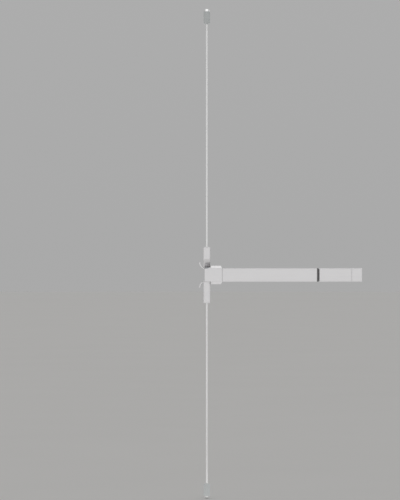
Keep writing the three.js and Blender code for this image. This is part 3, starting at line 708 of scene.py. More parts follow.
class ExitBarEnd(bpy.types.Operator):
    """Builds the filler cover, the end cap and the bracket beneath it"""

    bl_idname = "exit_bar.end"
    bl_label = "Filler and End Cap"

    def execute(self, context):
        sheet = context.scene.exit_bar_sheet
        stand_in(channel("rail_filler_cover", sheet), "rail_filler_cover")
        self.end_cap(sheet)
        stand_in(eased(cad_copy("end_bracket"), 0.4 * MM), "end_bracket")
        return {"FINISHED"}

    def end_cap(self, sheet):
        """A box drawn from sheet, open to the door and to the filler cover."""
        at = span("end_cap")
        face, half, end = at.depth[1], at.z[1], at.x[1]

        def form(inset, radius):
            back = -MM if inset else 0.0
            start = at.x[0] - (MM if inset else 0.0)
            high = half - inset
            section = [(back, -high), (face - inset, -high, radius), (face - inset, high, radius), (back, high)]
            plan = [(start, back), (end - inset, back)]
            plan += [(end - inset, face - inset, radius), (start, face - inset)]
            body = prism(fillet(section), start, end - inset, "x")
            return carve(body, prism(fillet(plan), -high - MM, high + MM, "z"), operation="INTERSECT")

        cap = form(0.0, sheet.bend)
        hole = span("end_cap_screw")
        screw_way = drill(half_width(hole.z) + 0.4 * MM, "x", (middle(hole.depth), 0), end - 3 * MM, end + MM)
        carve(cap, form(sheet.wall, sheet.bend - sheet.wall), screw_way)
        stand_in(eased(cap, sheet.ease), "end_cap")


# ---------------------------------------------------------------------------------------------
# The centre case


# Where the screws go that hold the base plate: from the rods' line, and above and below the middle.
PLATE_FIXING = (38 * MM, 30 * MM)


class ExitBarCenterCase(bpy.types.Operator):
    """Builds the centre case's cover and its base plate with the two horns"""

    bl_idname = "exit_bar.center_case"
    bl_label = "Centre Case"

    def execute(self, context):
        case = context.scene.exit_bar_case
        outer = settle(eased(self.form(case, 0.0), case.soft_edge, 4))
        cover = carve(outer, self.form(case, case.wall), *self.ways(case))
        stand_in(eased(cover, 0.35 * MM), "center_case_cover")
        stand_in(eased(self.base_plate(case), 0.4 * MM), "center_base_plate")
        return {"FINISHED"}

    def form(self, case, inset):
        """The cover's outer form, or its hollow when there is an inset."""
        at = span("center_case_cover")
        high = at.z[1] - inset
        flat = span("push_bar").z[1] - inset
        face = at.depth[1] - inset
        back = -MM if inset else 0.0
        left, right = at.x[0] + inset, at.x[1] - inset
        split = case.ear_start + inset
        shoulder = at.depth[1] - case.shoulder - 0.4 * inset
        taper = (at.z[1] - span("push_bar").z[1]) / 2
        bend = 0.5 * MM if inset else 2.5 * MM
        section = [(back, high), (shoulder, high, bend), (face, flat, bend)]
        section += [(u, -v, *rest) for u, v, *rest in reversed(section)]
        plan = [(split, -high), (right - taper, -high, bend), (right, -flat, bend)]
        plan += [(u, -v, *rest) for u, v, *rest in reversed(plan)]
        ears = prism(fillet(section), split, right, "x")
        carve(ears, prism(fillet(plan), back - MM, face + MM, "depth"), operation="INTERSECT")
        # Left of the ears, a box with a rounded corner, and a top edge hollowed round the rod cover.
        corner = [(left, back), (split + 3 * MM, back), (split + 3 * MM, face), (left, face, bend)]
        box = prism(fillet(corner), -flat, flat + case.rim, "z")
        lower_edge = [(back, -flat), (face, -flat, bend), (face, flat + 9 * MM), (back, flat + 9 * MM)]
        carve(box, prism(fillet(lower_edge), left - MM, split + 4 * MM, "x"), operation="INTERSECT")
        radius = case.cradle_radius + inset
        profile = [(radius, -5 * MM), (radius, face + 5 * MM)]
        cradle = turned(profile, "depth", (-case.cradle_left, case.cradle_height), sides=180)
        past_ears = (case.ear_start, split + 5 * MM)
        beyond = block(past_ears, (back - MM, face + MM), (flat - 1.5 * MM, flat + 9 * MM))
        carve(box, cradle, beyond)
        return carve(ears, box, operation="UNION")

    def ways(self, case):
        """What leaves the cover: the rods, the horns, the rail and the two screws."""
        ways = []
        horn = [0.5 * MM, -3, 6]
        rod_way = (-9.5 * MM, 14 * MM)
        for side in (1, -1):
            low, high = sorted((20 * MM * side, 42 * MM * side))
            ways.append(block(rod_way, (-MM, 22 * MM), (low, high)))
            ways.append(self.horn(case, side, case.horn_depth + 0.5 * MM, *horn))
        rail = span("mechanism_rail")
        right = span("center_case_cover").x[1]
        clear = 0.5 * MM
        ways.append(
            block(
                (right - 5 * MM, right + MM),
                (-MM, rail.depth[1] + clear),
                (rail.z[0] - clear, rail.z[1] + clear),
            )
        )
        for node in ("case_cover_screw_upper", "case_cover_screw_lower"):
            at = span(node)
            centre = (middle(at.x), middle(at.depth))
            side = 1 if at.z[0] > 0 else -1
            outside = max(abs(at.z[0]), abs(at.z[1]))
            seat = sorted((side * (outside - 1.4 * MM), side * (outside + MM)))
            through = sorted((side * (outside - 8 * MM), side * (outside + MM)))
            ways.append(drill(half_width(at.x) + 0.3 * MM, "z", centre, *seat))
            ways.append(drill(2.6 * MM, "z", centre, *through))
        return ways

    def horn(self, case, side, depth, clear=0.0, more_start=0, more_end=0):
        """A curved guard beside a rod cover, swept from its tip round to the base plate."""
        inner, outer = case.horn_inner - clear, case.horn_radius + clear
        back = -MM if clear else 0.0
        nose = 1.2 * MM
        profile = fillet([(inner, back), (outer, back), (outer, depth, nose), (inner, depth, nose)])
        rings = []
        for angle in range(182 + more_start, 251 + more_end, 2):
            across, up = math.cos(math.radians(angle)), math.sin(math.radians(angle))
            rings.append([(r * across, -d, side * (case.horn_height + r * up)) for r, d in profile])
        return grid_solid(rings, "horn")

    def base_plate(self, case):
        at = span("center_base_plate")
        high = span("case_cover_screw_upper").z[1] - 2.4 * MM
        neck, step, left = 22 * MM, 20.5 * MM, -8.2 * MM
        tab_x = (31 * MM, 48 * MM)
        corner = 1.5 * MM
        plan = [(left, -neck, corner), (step, -neck), (step, -high, corner), (at.x[1], -high)]
        plan += [(u, -v, *rest) for u, v, *rest in reversed(plan)]
        plate = prism(fillet(plan), 0.0, case.plate, "depth")
        centre = (0, case.horn_height)
        parts = []
        for side in (1, -1):
            tab_z = sorted((side * (high - 2.2 * MM), side * high))
            parts.append(block(tab_x, (case.plate - MM, at.depth[1]), tab_z))
            parts.append(self.horn(case, side, case.horn_depth))
            foot = arc(centre, case.horn_radius, 245, 268, 10) + arc(centre, case.horn_inner, 268, 245, 10)
            root = arc(centre, case.horn_radius + 4 * MM, 258, 268, 6)
            root += arc(centre, case.horn_inner + 0.5 * MM, 268, 258, 6)
            for outline in (foot, root):
                parts.append(prism([(u, side * v) for u, v in outline], 0.0, case.plate, "depth"))
        carve(plate, *parts, operation="UNION")
        screw = span("case_cover_screw_upper")
        centre = (middle(screw.x), middle(screw.depth))
        holes = [drill(2 * MM, "z", centre, -60 * MM, 60 * MM)]
        x, z = PLATE_FIXING
        holes += [drill(2.6 * MM, "depth", (x, way), -MM, case.plate + MM) for way in (-z, z)]
        return carve(plate, *holes)


# ---------------------------------------------------------------------------------------------
# Rods, rod covers and lock nuts


def side_screw_ways(node):
    """The seat and the hole for a flush screw in a cover's right-hand side."""
    at = span(node)
    centre = (middle(at.depth), middle(at.z))
    face = at.x[1]
    seat = drill(half_width(at.z) + 0.3 * MM, "x", centre, face - 1.0 * MM, face + MM)
    return [seat, drill(2.1 * MM, "x", centre, face - 3 * MM, face + MM)]


class ExitBarRodCovers(bpy.types.Operator):
    """Builds the covers over the inner ends of the two rods, and the guides inside them"""

    bl_idname = "exit_bar.rod_covers"
    bl_label = "Rod Covers"

    def execute(self, context):
        sheet = context.scene.exit_bar_sheet
        hardware = context.scene.exit_bar_hardware
        for node in ("upper_rod_cover", "lower_rod_cover"):
            up = node.startswith("upper")
            cover = self.form(node, sheet, hardware, up, 0.0)
            rod_way = drill(5 * MM, "z", (0, middle(span("upper_rod").depth)), 117 * MM, 122 * MM)
            carve(cover, self.form(node, sheet, hardware, up, sheet.wall), rod_way)
            if not up:
                upside_down(cover)
            carve(cover, *side_screw_ways(f"{node}_screw"))
            stand_in(eased(cover, sheet.ease), node, grain="z")
        for node in ("upper_rod_guide", "lower_rod_guide"):
            stand_in(eased(cad_copy(node), 0.4 * MM), node)
        return {"FINISHED"}

    def form(self, node, sheet, hardware, up, inset):
        """The cover's outer form with its far end up, or its hollow when there is an inset. Its
        section is drawn at each point of the front wall's line, so the bends follow the ramp."""
        at = span(node)
        near, far = sorted(map(abs, at.z))
        face = at.depth[1] - inset
        width = at.x[1] - inset
        back, opening = (-MM, 3 * MM) if inset else (0.0, 0.0)
        bend = sheet.bend - inset
        front = self.ramp(hardware, at.depth[1], inset, opening) if up else [(face, near - opening)]
        front += fillet([(face, near), (face, far - inset, bend), (back, far - inset)])[1:-1]
        rings = []
        for depth, z in front:
            section = [(-width, back), (width, back), (width, depth, bend), (-width, depth, bend)]
            rings.append([(x, -d, z) for x, d in fillet(section)])
        made = grid_solid(rings, node)
        if not up:
            clear = span("center_base_plate").depth[1] + 1.5 * MM
            horn_clear = 33 * MM - opening
            carve(made, block((-width - MM, width + MM), (back - MM, clear - inset), (0.0, horn_clear)))
        return made

    def ramp(self, hardware, face, inset, opening):
        """The front wall's curve from its sunken lower end out to the face."""
        run = hardware.ramp_top - hardware.ramp_near
        radius = (hardware.ramp_rise**2 + run**2) / (2 * hardware.ramp_rise)
        angle = math.degrees(math.asin(run / (radius - inset)))
        curve = arc((face - radius, hardware.ramp_top), radius - inset, -angle, 0, 28)
        return [(curve[0][0], hardware.ramp_near - opening), *curve] if opening else curve


class ExitBarRods(bpy.types.Operator):
    """Builds the two rods with their threads, heads and lock nuts"""

    bl_idname = "exit_bar.rods"
    bl_label = "Rods"

    def execute(self, context):
        hardware = context.scene.exit_bar_hardware
        for node in ("upper_rod", "lower_rod"):
            stand_in(self.rod(node, hardware), node, grain="z")
        for node in ("upper_lock_nut", "lower_lock_nut"):
            stand_in(eased(self.lock_nut(node), 0.25 * MM), node, grain="z")
        for node in ("upper_rod_head", "lower_rod_head"):
            stand_in(eased(cad_copy(node), 0.5 * MM, 3), node)
        return {"FINISHED"}

    def rod(self, node, hardware):
        """A round bar with a rolled thread at its inner end and a chamfer at both."""
        at = span(node)
        radius = half_width(at.x)
        inner, outer = sorted(at.z, key=abs)
        way = 1 if outer > 0 else -1
        total = abs(outer - inner)
        rows = int(hardware.thread / hardware.pitch * 6)
        places = [hardware.thread * k / rows for k in range(rows + 1)]
        places += [hardware.thread + MM, total - 2 * MM, total - MM, total]
        sides = 28
        rings = []
        for place in places:
            ring = []
            for k in range(sides):
                angle = 2 * math.pi * k / sides
                phase = 2 * math.pi * place / hardware.pitch - angle
                fade = min(1.0, max(0.0, (hardware.thread - place) / hardware.pitch))
                groove = fade * 0.35 * MM * (1 - math.cos(phase))
                chamfer = 0.6 * MM * max(0.0, 1 - min(place, total - place) / MM)
                size = radius - groove - chamfer
                ring.append(round_point("z", (0, middle(at.depth)), size, angle, inner + way * place))
            rings.append(ring)
        made = grid_solid(rings, node)
        made.data.shade_smooth()
        made.data.set_sharp_from_angle(angle=math.radians(40))
        return made

    def lock_nut(self, node):
        """A hexagon nut whose corners are turned off at both faces."""
        at = span(node)
        centre = (0, middle(at.depth))
        corner = half_width(at.depth)
        low, high = at.z
        slope = 1 * MM
        hexagon = arc(centre, corner, 90, 390, 5)
        nut = prism(hexagon, low, high, "z")
        profile = [(corner - 1.2 * MM, low), (corner + 0.2 * MM, low + slope)]
        profile += [(corner + 0.2 * MM, high - slope), (corner - 1.2 * MM, high)]
        carve(nut, turned(profile, "z", centre, sides=60), operation="INTERSECT")
        return carve(nut, drill(4.3 * MM, "z", centre, low - MM, high + MM))


# ---------------------------------------------------------------------------------------------
# Latches


class ExitBarLatches(bpy.types.Operator):
    """Builds the latches at the head and the foot of the door, with their bolts"""

    bl_idname = "exit_bar.latches"
    bl_label = "Latches"

    def execute(self, context):
        hardware = context.scene.exit_bar_hardware
        for place in ("top", "bottom"):
            self.cover(place, hardware)
            stand_in(eased(cad_copy(f"{place}_latch_base"), 0.35 * MM), f"{place}_latch_base")
            stand_in(eased(cad_copy(f"{place}_bolt"), 0.7 * MM, 3), f"{place}_bolt", grain="z")
        stand_in(eased(cad_copy("top_trigger"), 0.5 * MM, 3), "top_trigger", grain="z")
        return {"FINISHED"}

    def cover(self, place, hardware):
        """A cast cover, with sloped long edges and clipped corners where the rod goes in."""
        node = f"{place}_latch_cover"
        at = span(node)
        near, far = sorted(map(abs, at.z))
        cover = settle(eased(self.form(hardware, at, near, far, 0.0), 1.2 * MM, 4))
        bolt = span(f"{place}_bolt")
        mouth_right = 12.3 * MM if place == "top" else bolt.x[1] + 0.6 * MM
        depth = (bolt.depth[0] - MM, bolt.depth[1] + MM)
        mouth = block((bolt.x[0] - 0.6 * MM, mouth_right), depth, (far - 3 * MM, far + MM))
        rod_way = drill(5 * MM, "z", (0, middle(bolt.depth)), near - MM, near + 3 * MM)
        carve(cover, self.form(hardware, at, near, far, hardware.latch_wall), mouth, rod_way)
        if place == "bottom":
            upside_down(cover)
        carve(cover, *side_screw_ways(f"{place}_latch_screw"))
        stand_in(eased(cover, 0.3 * MM), node, grain="z")

    def form(self, hardware, at, near, far, inset):
        width = at.x[1] - inset
        face = at.depth[1] - inset
        back = -MM if inset else 0.0
        slope = hardware.latch_chamfer - 0.4 * inset
        bend = 0.0 if inset else 1.5 * MM
        low, high = near + inset, far - inset
        front = [(width - slope, low, bend), (width, low + slope, bend), (width, high, bend / 2)]
        front += [(-u, v, *rest) for u, v, *rest in reversed(front)]
        plan = [(width, back), (width, face - slope, bend), (width - slope, face, bend)]
        plan += [(-u, v, *rest) for u, v, *rest in reversed(plan)]
        body = prism(fillet(plan), low, high, "z")
        return carve(body, prism(fillet(front), back - MM, face + MM, "depth"), operation="INTERSECT")


# ---------------------------------------------------------------------------------------------
# Springs

Spring = namedtuple("Spring", "wire turns joint along anchor")
SPRINGS = {
    "return_spring": Spring(1.6 * MM, 9, "link_slide", "x", "high"),
    "top_bolt_spring": Spring(1.2 * MM, 5, "upper_rod_slide", "z", "low"),
    "bottom_bolt_spring": Spring(1.2 * MM, 5, "lower_rod_slide", "z", "high"),
    "top_trigger_spring": Spring(0.6 * MM, 8, "top_trigger_slide", "z", "low"),
}


def grow(made, tree, sizes):
    """Gives an object the node tree's result as its plain mesh. The sizes go by input name."""
    modifier = made.modifiers.new("nodes", "NODES")
    modifier.node_group = tree
    for item in tree.interface.items_tree:
        if item.name in sizes:
            modifier[item.identifier] = sizes[item.name]
    bpy.context.view_layer.update()
    return settle(made)


def node_tree(name, numbers):
    """A Geometry Nodes tree with a geometry in and out, these numbers and a material."""
    tree = bpy.data.node_groups.new(name, "GeometryNodeTree")
    tree.interface.new_socket("Geometry", in_out="INPUT", socket_type="NodeSocketGeometry")
    tree.interface.new_socket("Geometry", in_out="OUTPUT", socket_type="NodeSocketGeometry")
    for number in numbers:
        tree.interface.new_socket(number, in_out="INPUT", socket_type="NodeSocketFloat")
    tree.interface.new_socket("Material", in_out="INPUT", socket_type="NodeSocketMaterial")
    return tree, add(tree, "NodeGroupInput").outputs


def close_nodes(tree, geometry, material):
    """Ends a tree with plain geometry in that material."""
    real = add(tree, "GeometryNodeRealizeInstances", {"Geometry": geometry})
    finished = add(tree, "GeometryNodeSetMaterial", {"Geometry": real, "Material": material})
    add(tree, "NodeGroupOutput", {0: finished})


def coil_tree():
    """Round wire wound in a helix up from the origin, with its first and last turns closed up."""
    tree, given = node_tree("wound coil", ("Coil Radius", "Wire Radius", "Turns", "Length"))
    per_turn, sides, closed = 28, 12, 0.95
    steps = add(tree, "ShaderNodeMath", {0: given["Turns"], 1: float(per_turn)}, operation="MULTIPLY")
    flat = add(
        tree,
        "GeometryNodeCurveSpiral",
        {
            "Resolution": per_turn,
            "Rotations": given["Turns"],
            "Start Radius": given["Coil Radius"],
            "End Radius": given["Coil Radius"],
            "Height": 0.0,
        },
    )
    even = add(tree, "GeometryNodeResampleCurve", {"Curve": flat, "Count": steps})
    along = add(tree, "GeometryNodeSplineParameter").outputs["Factor"]
    turn = add(tree, "ShaderNodeMath", {0: along, 1: given["Turns"]}, operation="MULTIPLY")
    # The wire climbs nearly its own thickness in the first and last turns, and the rest between.
    wire = add(tree, "ShaderNodeMath", {0: given["Wire Radius"], 1: 2 * closed}, operation="MULTIPLY")
    last = add(tree, "ShaderNodeMath", {0: given["Turns"], 1: 1.0}, operation="SUBTRACT")
    both = add(tree, "ShaderNodeMath", {0: wire, 1: 2.0}, operation="MULTIPLY")
    open_rise = add(tree, "ShaderNodeMath", {0: given["Length"], 1: both}, operation="SUBTRACT")
    first_rise = add(tree, "ShaderNodeMapRange", {"Value": turn, "From Max": 1.0, "To Max": wire})
    main_turns = {"Value": turn, "From Min": 1.0, "From Max": last, "To Max": open_rise}
    main_rise = add(tree, "ShaderNodeMapRange", main_turns)
    last_turn = {"Value": turn, "From Min": last, "From Max": given["Turns"], "To Max": wire}
    last_rise = add(tree, "ShaderNodeMapRange", last_turn)
    ends = add(tree, "ShaderNodeMath", {0: first_rise, 1: last_rise}, operation="ADD")
    rise = add(tree, "ShaderNodeMath", {0: ends, 1: main_rise}, operation="ADD")
    lift = add(tree, "ShaderNodeCombineXYZ", {"Z": rise})
    helix = add(tree, "GeometryNodeSetPosition", {"Geometry": even, "Offset": lift})
    round_wire = {"Resolution": sides, "Radius": given["Wire Radius"]}
    section = add(tree, "GeometryNodeCurvePrimitiveCircle", round_wire)
    wound = add(
        tree, "GeometryNodeCurveToMesh", {"Curve": helix, "Profile Curve": section, "Fill Caps": True}
    )
    close_nodes(tree, wound, given["Material"])
    return tree


class ExitBarSprings(bpy.types.Operator):
    """Coils the four springs, each at its length at rest"""

    bl_idname = "exit_bar.springs"
    bl_label = "Springs"

    def execute(self, context):
        self.tree = coil_tree()
        for node, spring in SPRINGS.items():
            made = stand_in(self.coil(node, spring), node, grain="z")
            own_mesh(made)
        return {"FINISHED"}

    def coil(self, node, spring):
        """One coil, wound up from the origin by the tree and then laid in its place."""
        at = span(node)
        low, high = at.x if spring.along == "x" else at.z
        across = at.z if spring.along == "x" else at.x
        sizes = {
            "Coil Radius": half_width(across) - spring.wire / 2,
            "Wire Radius": spring.wire / 2,
            "Turns": float(spring.turns),
            "Length": high - low - spring.wire,
            "Material": finish_for(SLOT_OF[node], "z"),
        }
        made = bpy.data.objects.new(node, bpy.data.meshes.new(node))
        bpy.context.scene.collection.objects.link(made)
        grow(made, self.tree, sizes)
        seat = (low + spring.wire / 2, -middle(at.depth), middle(at.z))
        if spring.along == "z":
            seat = (middle(at.x), -middle(at.depth), low + spring.wire / 2)
        lean = Matrix.Rotation(math.radians(90), 4, "Y") if spring.along == "x" else Matrix()
        made.data.transform(Matrix.Translation(seat) @ lean)
        made.data.shade_smooth()
        return made


# ---------------------------------------------------------------------------------------------
# The linkage inside the rail and the case

PINS = {
    "crank_pin_1": "z",
    "crank_pin_2": "z",
    "link_pin_1": "z",
    "link_pin_2": "z",
    "slide_rivet": "z",
    "slide_pin": "depth",
    "spring_guide_pin": "x",
}
PRESSED = (
    "push_bracket_1",
    "push_bracket_2",
    "crank_1",
    "crank_2",
    "crank_bracket_1",
    "crank_bracket_2",
    "actuator_link",
    "center_slide",
    "spring_anchor",
    "upper_lift_lever",
    "lower_lift_lever",
)


class ExitBarLinkage(bpy.types.Operator):
    """Builds the cranks, link, slide and levers, and the pins and rollers that they turn on"""

    bl_idname = "exit_bar.linkage"
    bl_label = "Linkage"

    def execute(self, context):
        for node in PRESSED:
            stand_in(eased(cad_copy(node), 0.3 * MM), node)
        for node, along in PINS.items():
            self.pin(node, along)
        for node in ("upper_lever_pin", "lower_lever_pin"):
            self.lever_pin(node)
        for node in ("crank_roller_1", "crank_roller_2"):
            self.roller(node)
        return {"FINISHED"}

    def axis_of(self, node, along):
        """Where a round node's axis runs, its greatest radius, and its two ends."""
        at = span(node)
        pairs = {"x": (at.depth, at.z, at.x), "depth": (at.x, at.z, at.depth), "z": (at.x, at.depth, at.z)}
        across, other, ends = pairs[along]
        return (middle(across), middle(other)), half_width(across), ends

    def round_piece(self, profile, along, centre, node):
        made = turned(profile, along, centre, node, sides=36)
        made.data.shade_smooth()
        made.data.set_sharp_from_angle(angle=math.radians(35))
        stand_in(made, node, grain="z")

    def pin(self, node, along):
        centre, radius, (low, high) = self.axis_of(node, along)
        nose = 0.4 * MM
        profile = [(radius - nose, low), (radius, low + nose), (radius, high - nose), (radius - nose, high)]
        self.round_piece(profile, along, centre, node)

    def lever_pin(self, node):
        centre, head, (low, high) = self.axis_of(node, "depth")
        shank, nose, seat = 3 * MM, 0.4 * MM, high - 1.5 * MM
        profile = [(shank, low), (shank, seat), (head - nose, seat), (head, seat + nose)]
        profile += [(head, high - nose), (head - nose, high)]
        self.round_piece(profile, "depth", centre, node)

    def roller(self, node):
        centre, rim, (low, high) = self.axis_of(node, "z")
        seat, nose, shank = low + 5 * MM, 0.6 * MM, 1.5 * MM
        profile = [(rim - 2 * MM, low), (rim - nose, low), (rim, low + nose), (rim, seat - nose)]
        profile += [(rim - nose, seat), (shank, seat), (shank, high - 0.3 * MM), (shank - 0.3 * MM, high)]
        self.round_piece(profile, "z", centre, node)


# ---------------------------------------------------------------------------------------------
# Screws, repeated by Geometry Nodes

Screws = namedtuple("Screws", "head thickness shank length")
FLUSH = Screws(3.2 * MM, 0.7 * MM, 1.6 * MM, 5.0 * MM)
CASE_SCREW = Screws(3.8 * MM, 1.1 * MM, 1.7 * MM, 7.0 * MM)
CAP_SCREW = Screws(4.4 * MM, 1.6 * MM, 2.1 * MM, 11.8 * MM)
FIXING = Screws(4.4 * MM, 2.0 * MM, 2.2 * MM, 2.8 * MM)


def screw_tree(seed):
    """Screws with a cross recess on the input's points, each facing along its own 'facing'."""
    sizes = ("Head Radius", "Head Thickness", "Shank Radius", "Shank Length", "Drive Width")
    tree, given = node_tree("screws on points", sizes)
    head, thick, shank = given["Head Radius"], given["Head Thickness"], given["Shank Length"]
    rim = add(tree, "ShaderNodeMath", {0: thick, 1: 0.3}, operation="MULTIPLY")
    crown = add(tree, "ShaderNodeMath", {0: head, 1: rim}, operation="SUBTRACT")
    wall = add(tree, "ShaderNodeMath", {0: thick, 1: rim}, operation="SUBTRACT")
    under = add(tree, "ShaderNodeMath", {0: thick, 1: shank}, operation="ADD")
    lap = add(tree, "ShaderNodeMath", {0: shank, 1: 1.04}, operation="MULTIPLY")
    # Each stage of the screw: its radius below and above, its height, and how deep it starts.
    stages = (
        (32, head, crown, rim, rim),
        (32, head, head, wall, thick),
        (16, given["Shank Radius"], given["Shank Radius"], lap, under),
    )
    solid = add(tree, "GeometryNodeMeshBoolean", operation="UNION", solver="EXACT")
    for sides, below, above, height, start in stages:
        cone = {"Vertices": sides, "Radius Bottom": below, "Radius Top": above, "Depth": height}
        stage = add(tree, "GeometryNodeMeshCone", cone)
        depth = add(tree, "ShaderNodeMath", {0: start, 1: -1.0}, operation="MULTIPLY")
        sink = add(tree, "ShaderNodeCombineXYZ", {"Z": depth})
        lowered = add(tree, "GeometryNodeTransform", {"Geometry": stage, "Translation": sink})
        tree.links.new(lowered.outputs[0], solid.inputs[1])
    arm = add(tree, "ShaderNodeMath", {0: head, 1: 1.3}, operation="MULTIPLY")
    reach = add(tree, "ShaderNodeMath", {0: thick, 1: 1.6}, operation="MULTIPLY")
    recessed = add(tree, "GeometryNodeMeshBoolean", {0: solid}, operation="DIFFERENCE", solver="EXACT")
    for x, y in ((arm, given["Drive Width"]), (given["Drive Width"], arm)):
        size = add(tree, "ShaderNodeCombineXYZ", {"X": x, "Y": y, "Z": reach})
        cutter = add(tree, "GeometryNodeMeshCube", {"Size": size})
        tree.links.new(cutter.outputs["Mesh"], recessed.inputs[1])
    facing = add(tree, "GeometryNodeInputNamedAttribute", {"Name": "facing"}, data_type="FLOAT_VECTOR")
    aim = add(tree, "FunctionNodeAlignRotationToVector", {"Vector": facing}, axis="Z")
    limits = {"Seed": seed, "Max": (0, 0, math.pi)}
    spin = add(tree, "FunctionNodeRandomValue", limits, data_type="FLOAT_VECTOR")
    turn = add(
        tree, "FunctionNodeRotateRotation", {"Rotation": aim, "Rotate By": spin}, rotation_space="LOCAL"
    )
    placed = add(
        tree,
        "GeometryNodeInstanceOnPoints",
        {"Points": given["Geometry"], "Instance": recessed, "Rotation": turn},
    )
    close_nodes(tree, placed, given["Material"])
    return tree


class ExitBarScrews(bpy.types.Operator):
    """Sets every screw: the flush ones in the covers and those that hold the plates to the door"""

    bl_idname = "exit_bar.screws"
    bl_label = "Screws"

    def execute(self, context):
        hardware = context.scene.exit_bar_hardware
        self.tree = screw_tree(hardware.turn_seed)
        self.hardware = hardware
        side = {"upper_rod_cover_screw": (1, 0, 0), "lower_rod_cover_screw": (1, 0, 0)}
        side.update({"top_latch_screw": (1, 0, 0), "bottom_latch_screw": (1, 0, 0)})
        self.set_nodes("cover_side_screws", FLUSH, side)
        case = {"case_cover_screw_upper": (0, 0, 1), "case_cover_screw_lower": (0, 0, -1)}
        self.set_nodes("case_cover_screws", CASE_SCREW, case)
        self.set_nodes("end_cap_screws", CAP_SCREW, {"end_cap_screw": (1, 0, 0)})
        self.set_points("door_fixing_screws", FIXING, self.fixing_points(), (0, -1, 0), "zinc_plated_steel")
        return {"FINISHED"}

    def set_nodes(self, name, kind, nodes):
        """Screws that stand for CAD screws, each with its head at its outer end."""
        points = []
        for node, facing in nodes.items():
            low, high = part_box(node)
            centre, half = (low + high) / 2, (high - low) / 2
            points.append(centre + Vector(f * h for f, h in zip(facing, half)))
        made = self.set_points(name, kind, points, list(nodes.values()), SLOT_OF[next(iter(nodes))])
        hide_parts(*nodes)

    def fixing_points(self):
        """The heads of the screws that hold the base plate and the end bracket."""
        plate = 3 * MM + 0.3 * MM + FIXING.thickness
        x, z = PLATE_FIXING
        points = [(x, -plate, way) for way in (-z, z)]
        foot = span("end_bracket")
        x = middle((span("mechanism_rail").x[1], foot.x[1])) + MM
        points += [(x, -plate, z) for z in (-13 * MM, 13 * MM)]
        return points

    def set_points(self, name, kind, points, facing, slot):
        """One plain mesh of screws on the chassis, made by the node tree."""
        mesh = bpy.data.meshes.new(name)
        mesh.from_pydata([tuple(point) for point in points], [], [])
        ways = facing if isinstance(facing, list) else [facing] * len(points)
        attribute = mesh.attributes.new("facing", "FLOAT_VECTOR", "POINT")
        attribute.data.foreach_set("vector", [c for way in ways for c in way])
        made = bpy.data.objects.new(name, mesh)
        bpy.context.scene.collection.objects.link(made)
        sizes = {
            "Head Radius": kind.head,
            "Head Thickness": kind.thickness,
            "Shank Radius": kind.shank,
            "Shank Length": kind.length,
            "Drive Width": self.hardware.drive,
            "Material": finish_for(slot, "z"),
        }
        grow(made, self.tree, sizes)
        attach(made, "chassis")
        return made


# ---------------------------------------------------------------------------------------------
# The studio

Softbox = namedtuple("Softbox", "name place target width height radiance")
SOFTBOXES = (
    Softbox("front_softbox", (0.3, -4.2, 0.6), (0.3, 0.0, 0.6), 8.0, 3.2, 0.625),
    Softbox("left_softbox", (-3.4, -0.4, 0.4), (0.0, -0.1, 0.1), 3.0, 2.6, 0.65),
    Softbox("right_softbox", (4.0, -0.4, 0.4), (0.7, -0.1, 0.1), 3.0, 2.6, 0.65),
    Softbox("back_softbox", (0.3, 4.2, 0.6), (0.3, 0.0, 0.6), 8.0, 3.2, 0.4),
    Softbox("overhead_softbox", (0.3, -0.3, 3.2), (0.3, -0.1, 0.0), 3.2, 3.0, 0.75),
    Softbox("low_softbox", (0.3, -0.3, -0.96), (0.3, -0.3, 0.0), 1.8, 1.6, 0.3),
    Softbox("floor_glow", (0.3, 0.0, -0.965), (0.3, 0.0, 0.0), 10.0, 10.0, 0.35),
)
HORIZON = 0.40
ZENITH = 0.58
CAMERA_CENTRE = (-29.6 * MM, 107.9 * MM)
CAMERA_DISTANCE = 12.0
FRAME_HEIGHT = 2158.5 * MM


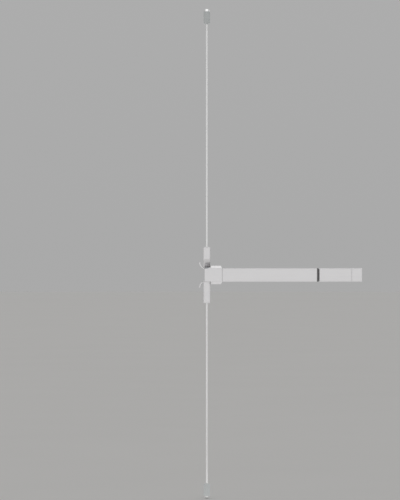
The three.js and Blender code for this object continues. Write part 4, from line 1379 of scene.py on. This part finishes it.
class ExitBarStage(bpy.types.Operator):
    """Lays the pale floor and sets the soft lights and the camera"""

    bl_idname = "exit_bar.stage"
    bl_label = "Stage"

    def execute(self, context):
        floor = self.floor(context.scene.exit_bar_finish)
        self.world(context.scene)
        # The softboxes don't light the floor, so it stays one plain tone right round the bar.
        lit = bpy.data.collections.new("unlit_by_softboxes")
        lit.objects.link(floor)
        lit.collection_objects[0].light_linking.link_state = "EXCLUDE"
        for softbox in SOFTBOXES:
            self.softbox(softbox, lit)
        self.camera(context.scene)
        context.scene.view_settings.view_transform = "Standard"
        return {"FINISHED"}

    def floor(self, finish):
        reach = 60.0
        corners = arc((0, 0), reach, 0, 354, 59)
        bm = bmesh.new()
        level = CAD_BOX[0].z - 0.5 * MM
        bm.faces.new([bm.verts.new((x, y, level)) for x, y in corners])
        floor = object_of(bm, "floor")
        floor.data.materials.append(studio_floor(finish.floor))
        return floor

    def world(self, scene):
        """Even pale surroundings, lighter overhead, which meet the floor in one tone."""
        world = bpy.data.worlds.new("studio")
        world.use_nodes = True
        tree = world.node_tree
        tree.nodes.clear()
        place = add(tree, "ShaderNodeTexCoord").outputs["Generated"]
        height = add(tree, "ShaderNodeSeparateXYZ", {"Vector": place}).outputs["Z"]
        light = add(tree, "ShaderNodeMapRange", {"Value": height, "To Min": HORIZON, "To Max": ZENITH})
        shine = add(tree, "ShaderNodeBackground", {"Color": (1, 1, 1, 1), "Strength": light})
        add(tree, "ShaderNodeOutputWorld", {"Surface": shine})
        scene.world = world

    def softbox(self, softbox, lit):
        """A flat even light that the camera doesn't see, with its power worked out from its glow."""
        light = bpy.data.lights.new(softbox.name, "AREA")
        light.shape = "RECTANGLE"
        light.size, light.size_y = softbox.width, softbox.height
        light.energy = math.pi * softbox.width * softbox.height * softbox.radiance
        made = bpy.data.objects.new(softbox.name, light)
        made.location = softbox.place
        aim = Vector(softbox.target) - Vector(softbox.place)
        made.rotation_euler = aim.to_track_quat("-Z", "Y").to_euler()
        made.visible_camera = False
        made.light_linking.receiver_collection = lit
        bpy.context.scene.collection.objects.link(made)

    def camera(self, scene):
        """A long lens, level and square on, so that the bar is seen almost without perspective."""
        data = bpy.data.cameras.new("camera")
        data.lens = data.sensor_width * CAMERA_DISTANCE / FRAME_HEIGHT
        data.clip_end = 200.0
        camera = bpy.data.objects.new("camera", data)
        front = CAD_BOX[0].y
        camera.location = (CAMERA_CENTRE[0], front - CAMERA_DISTANCE, CAMERA_CENTRE[1])
        camera.rotation_euler = (math.radians(90), 0, 0)
        scene.collection.objects.link(camera)
        scene.camera = camera


# ---------------------------------------------------------------------------------------------
# Registration

GROUPS = {
    "exit_bar_sheet": ExitBarSheet,
    "exit_bar_case": ExitBarCase,
    "exit_bar_hardware": ExitBarHardware,
    "exit_bar_finish": ExitBarFinish,
}
STEPS = (
    ExitBarRail,
    ExitBarPushBar,
    ExitBarEnd,
    ExitBarCenterCase,
    ExitBarRodCovers,
    ExitBarRods,
    ExitBarLatches,
    ExitBarSprings,
    ExitBarLinkage,
    ExitBarScrews,
    ExitBarStage,
)


class ExitBarPanel(bpy.types.Panel):
    """Lists the exit bar's sizes, colours and building steps"""

    bl_idname = "VIEW3D_PT_exit_bar"
    bl_label = "Exit Bar"
    bl_space_type = "VIEW_3D"
    bl_region_type = "UI"
    bl_category = "Exit Bar"

    def draw(self, context):
        for step in STEPS:
            self.layout.operator(step.bl_idname)
        for name in GROUPS:
            box = self.layout.box()
            group = getattr(context.scene, name)
            for key in group.__annotations__:
                box.prop(group, key)


CLASSES = (*GROUPS.values(), *STEPS, ExitBarPanel)


def register():
    for kind in CLASSES:
        bpy.utils.register_class(kind)
    for name, group in GROUPS.items():
        setattr(bpy.types.Scene, name, PointerProperty(type=group))


def unregister():
    for name in GROUPS:
        delattr(bpy.types.Scene, name)
    for kind in reversed(CLASSES):
        bpy.utils.unregister_class(kind)


def main():
    """Builds everything in order."""
    register()
    for step in STEPS:
        family, name = step.bl_idname.split(".")
        getattr(getattr(bpy.ops, family), name)()


if __name__ == "__main__":
    main()
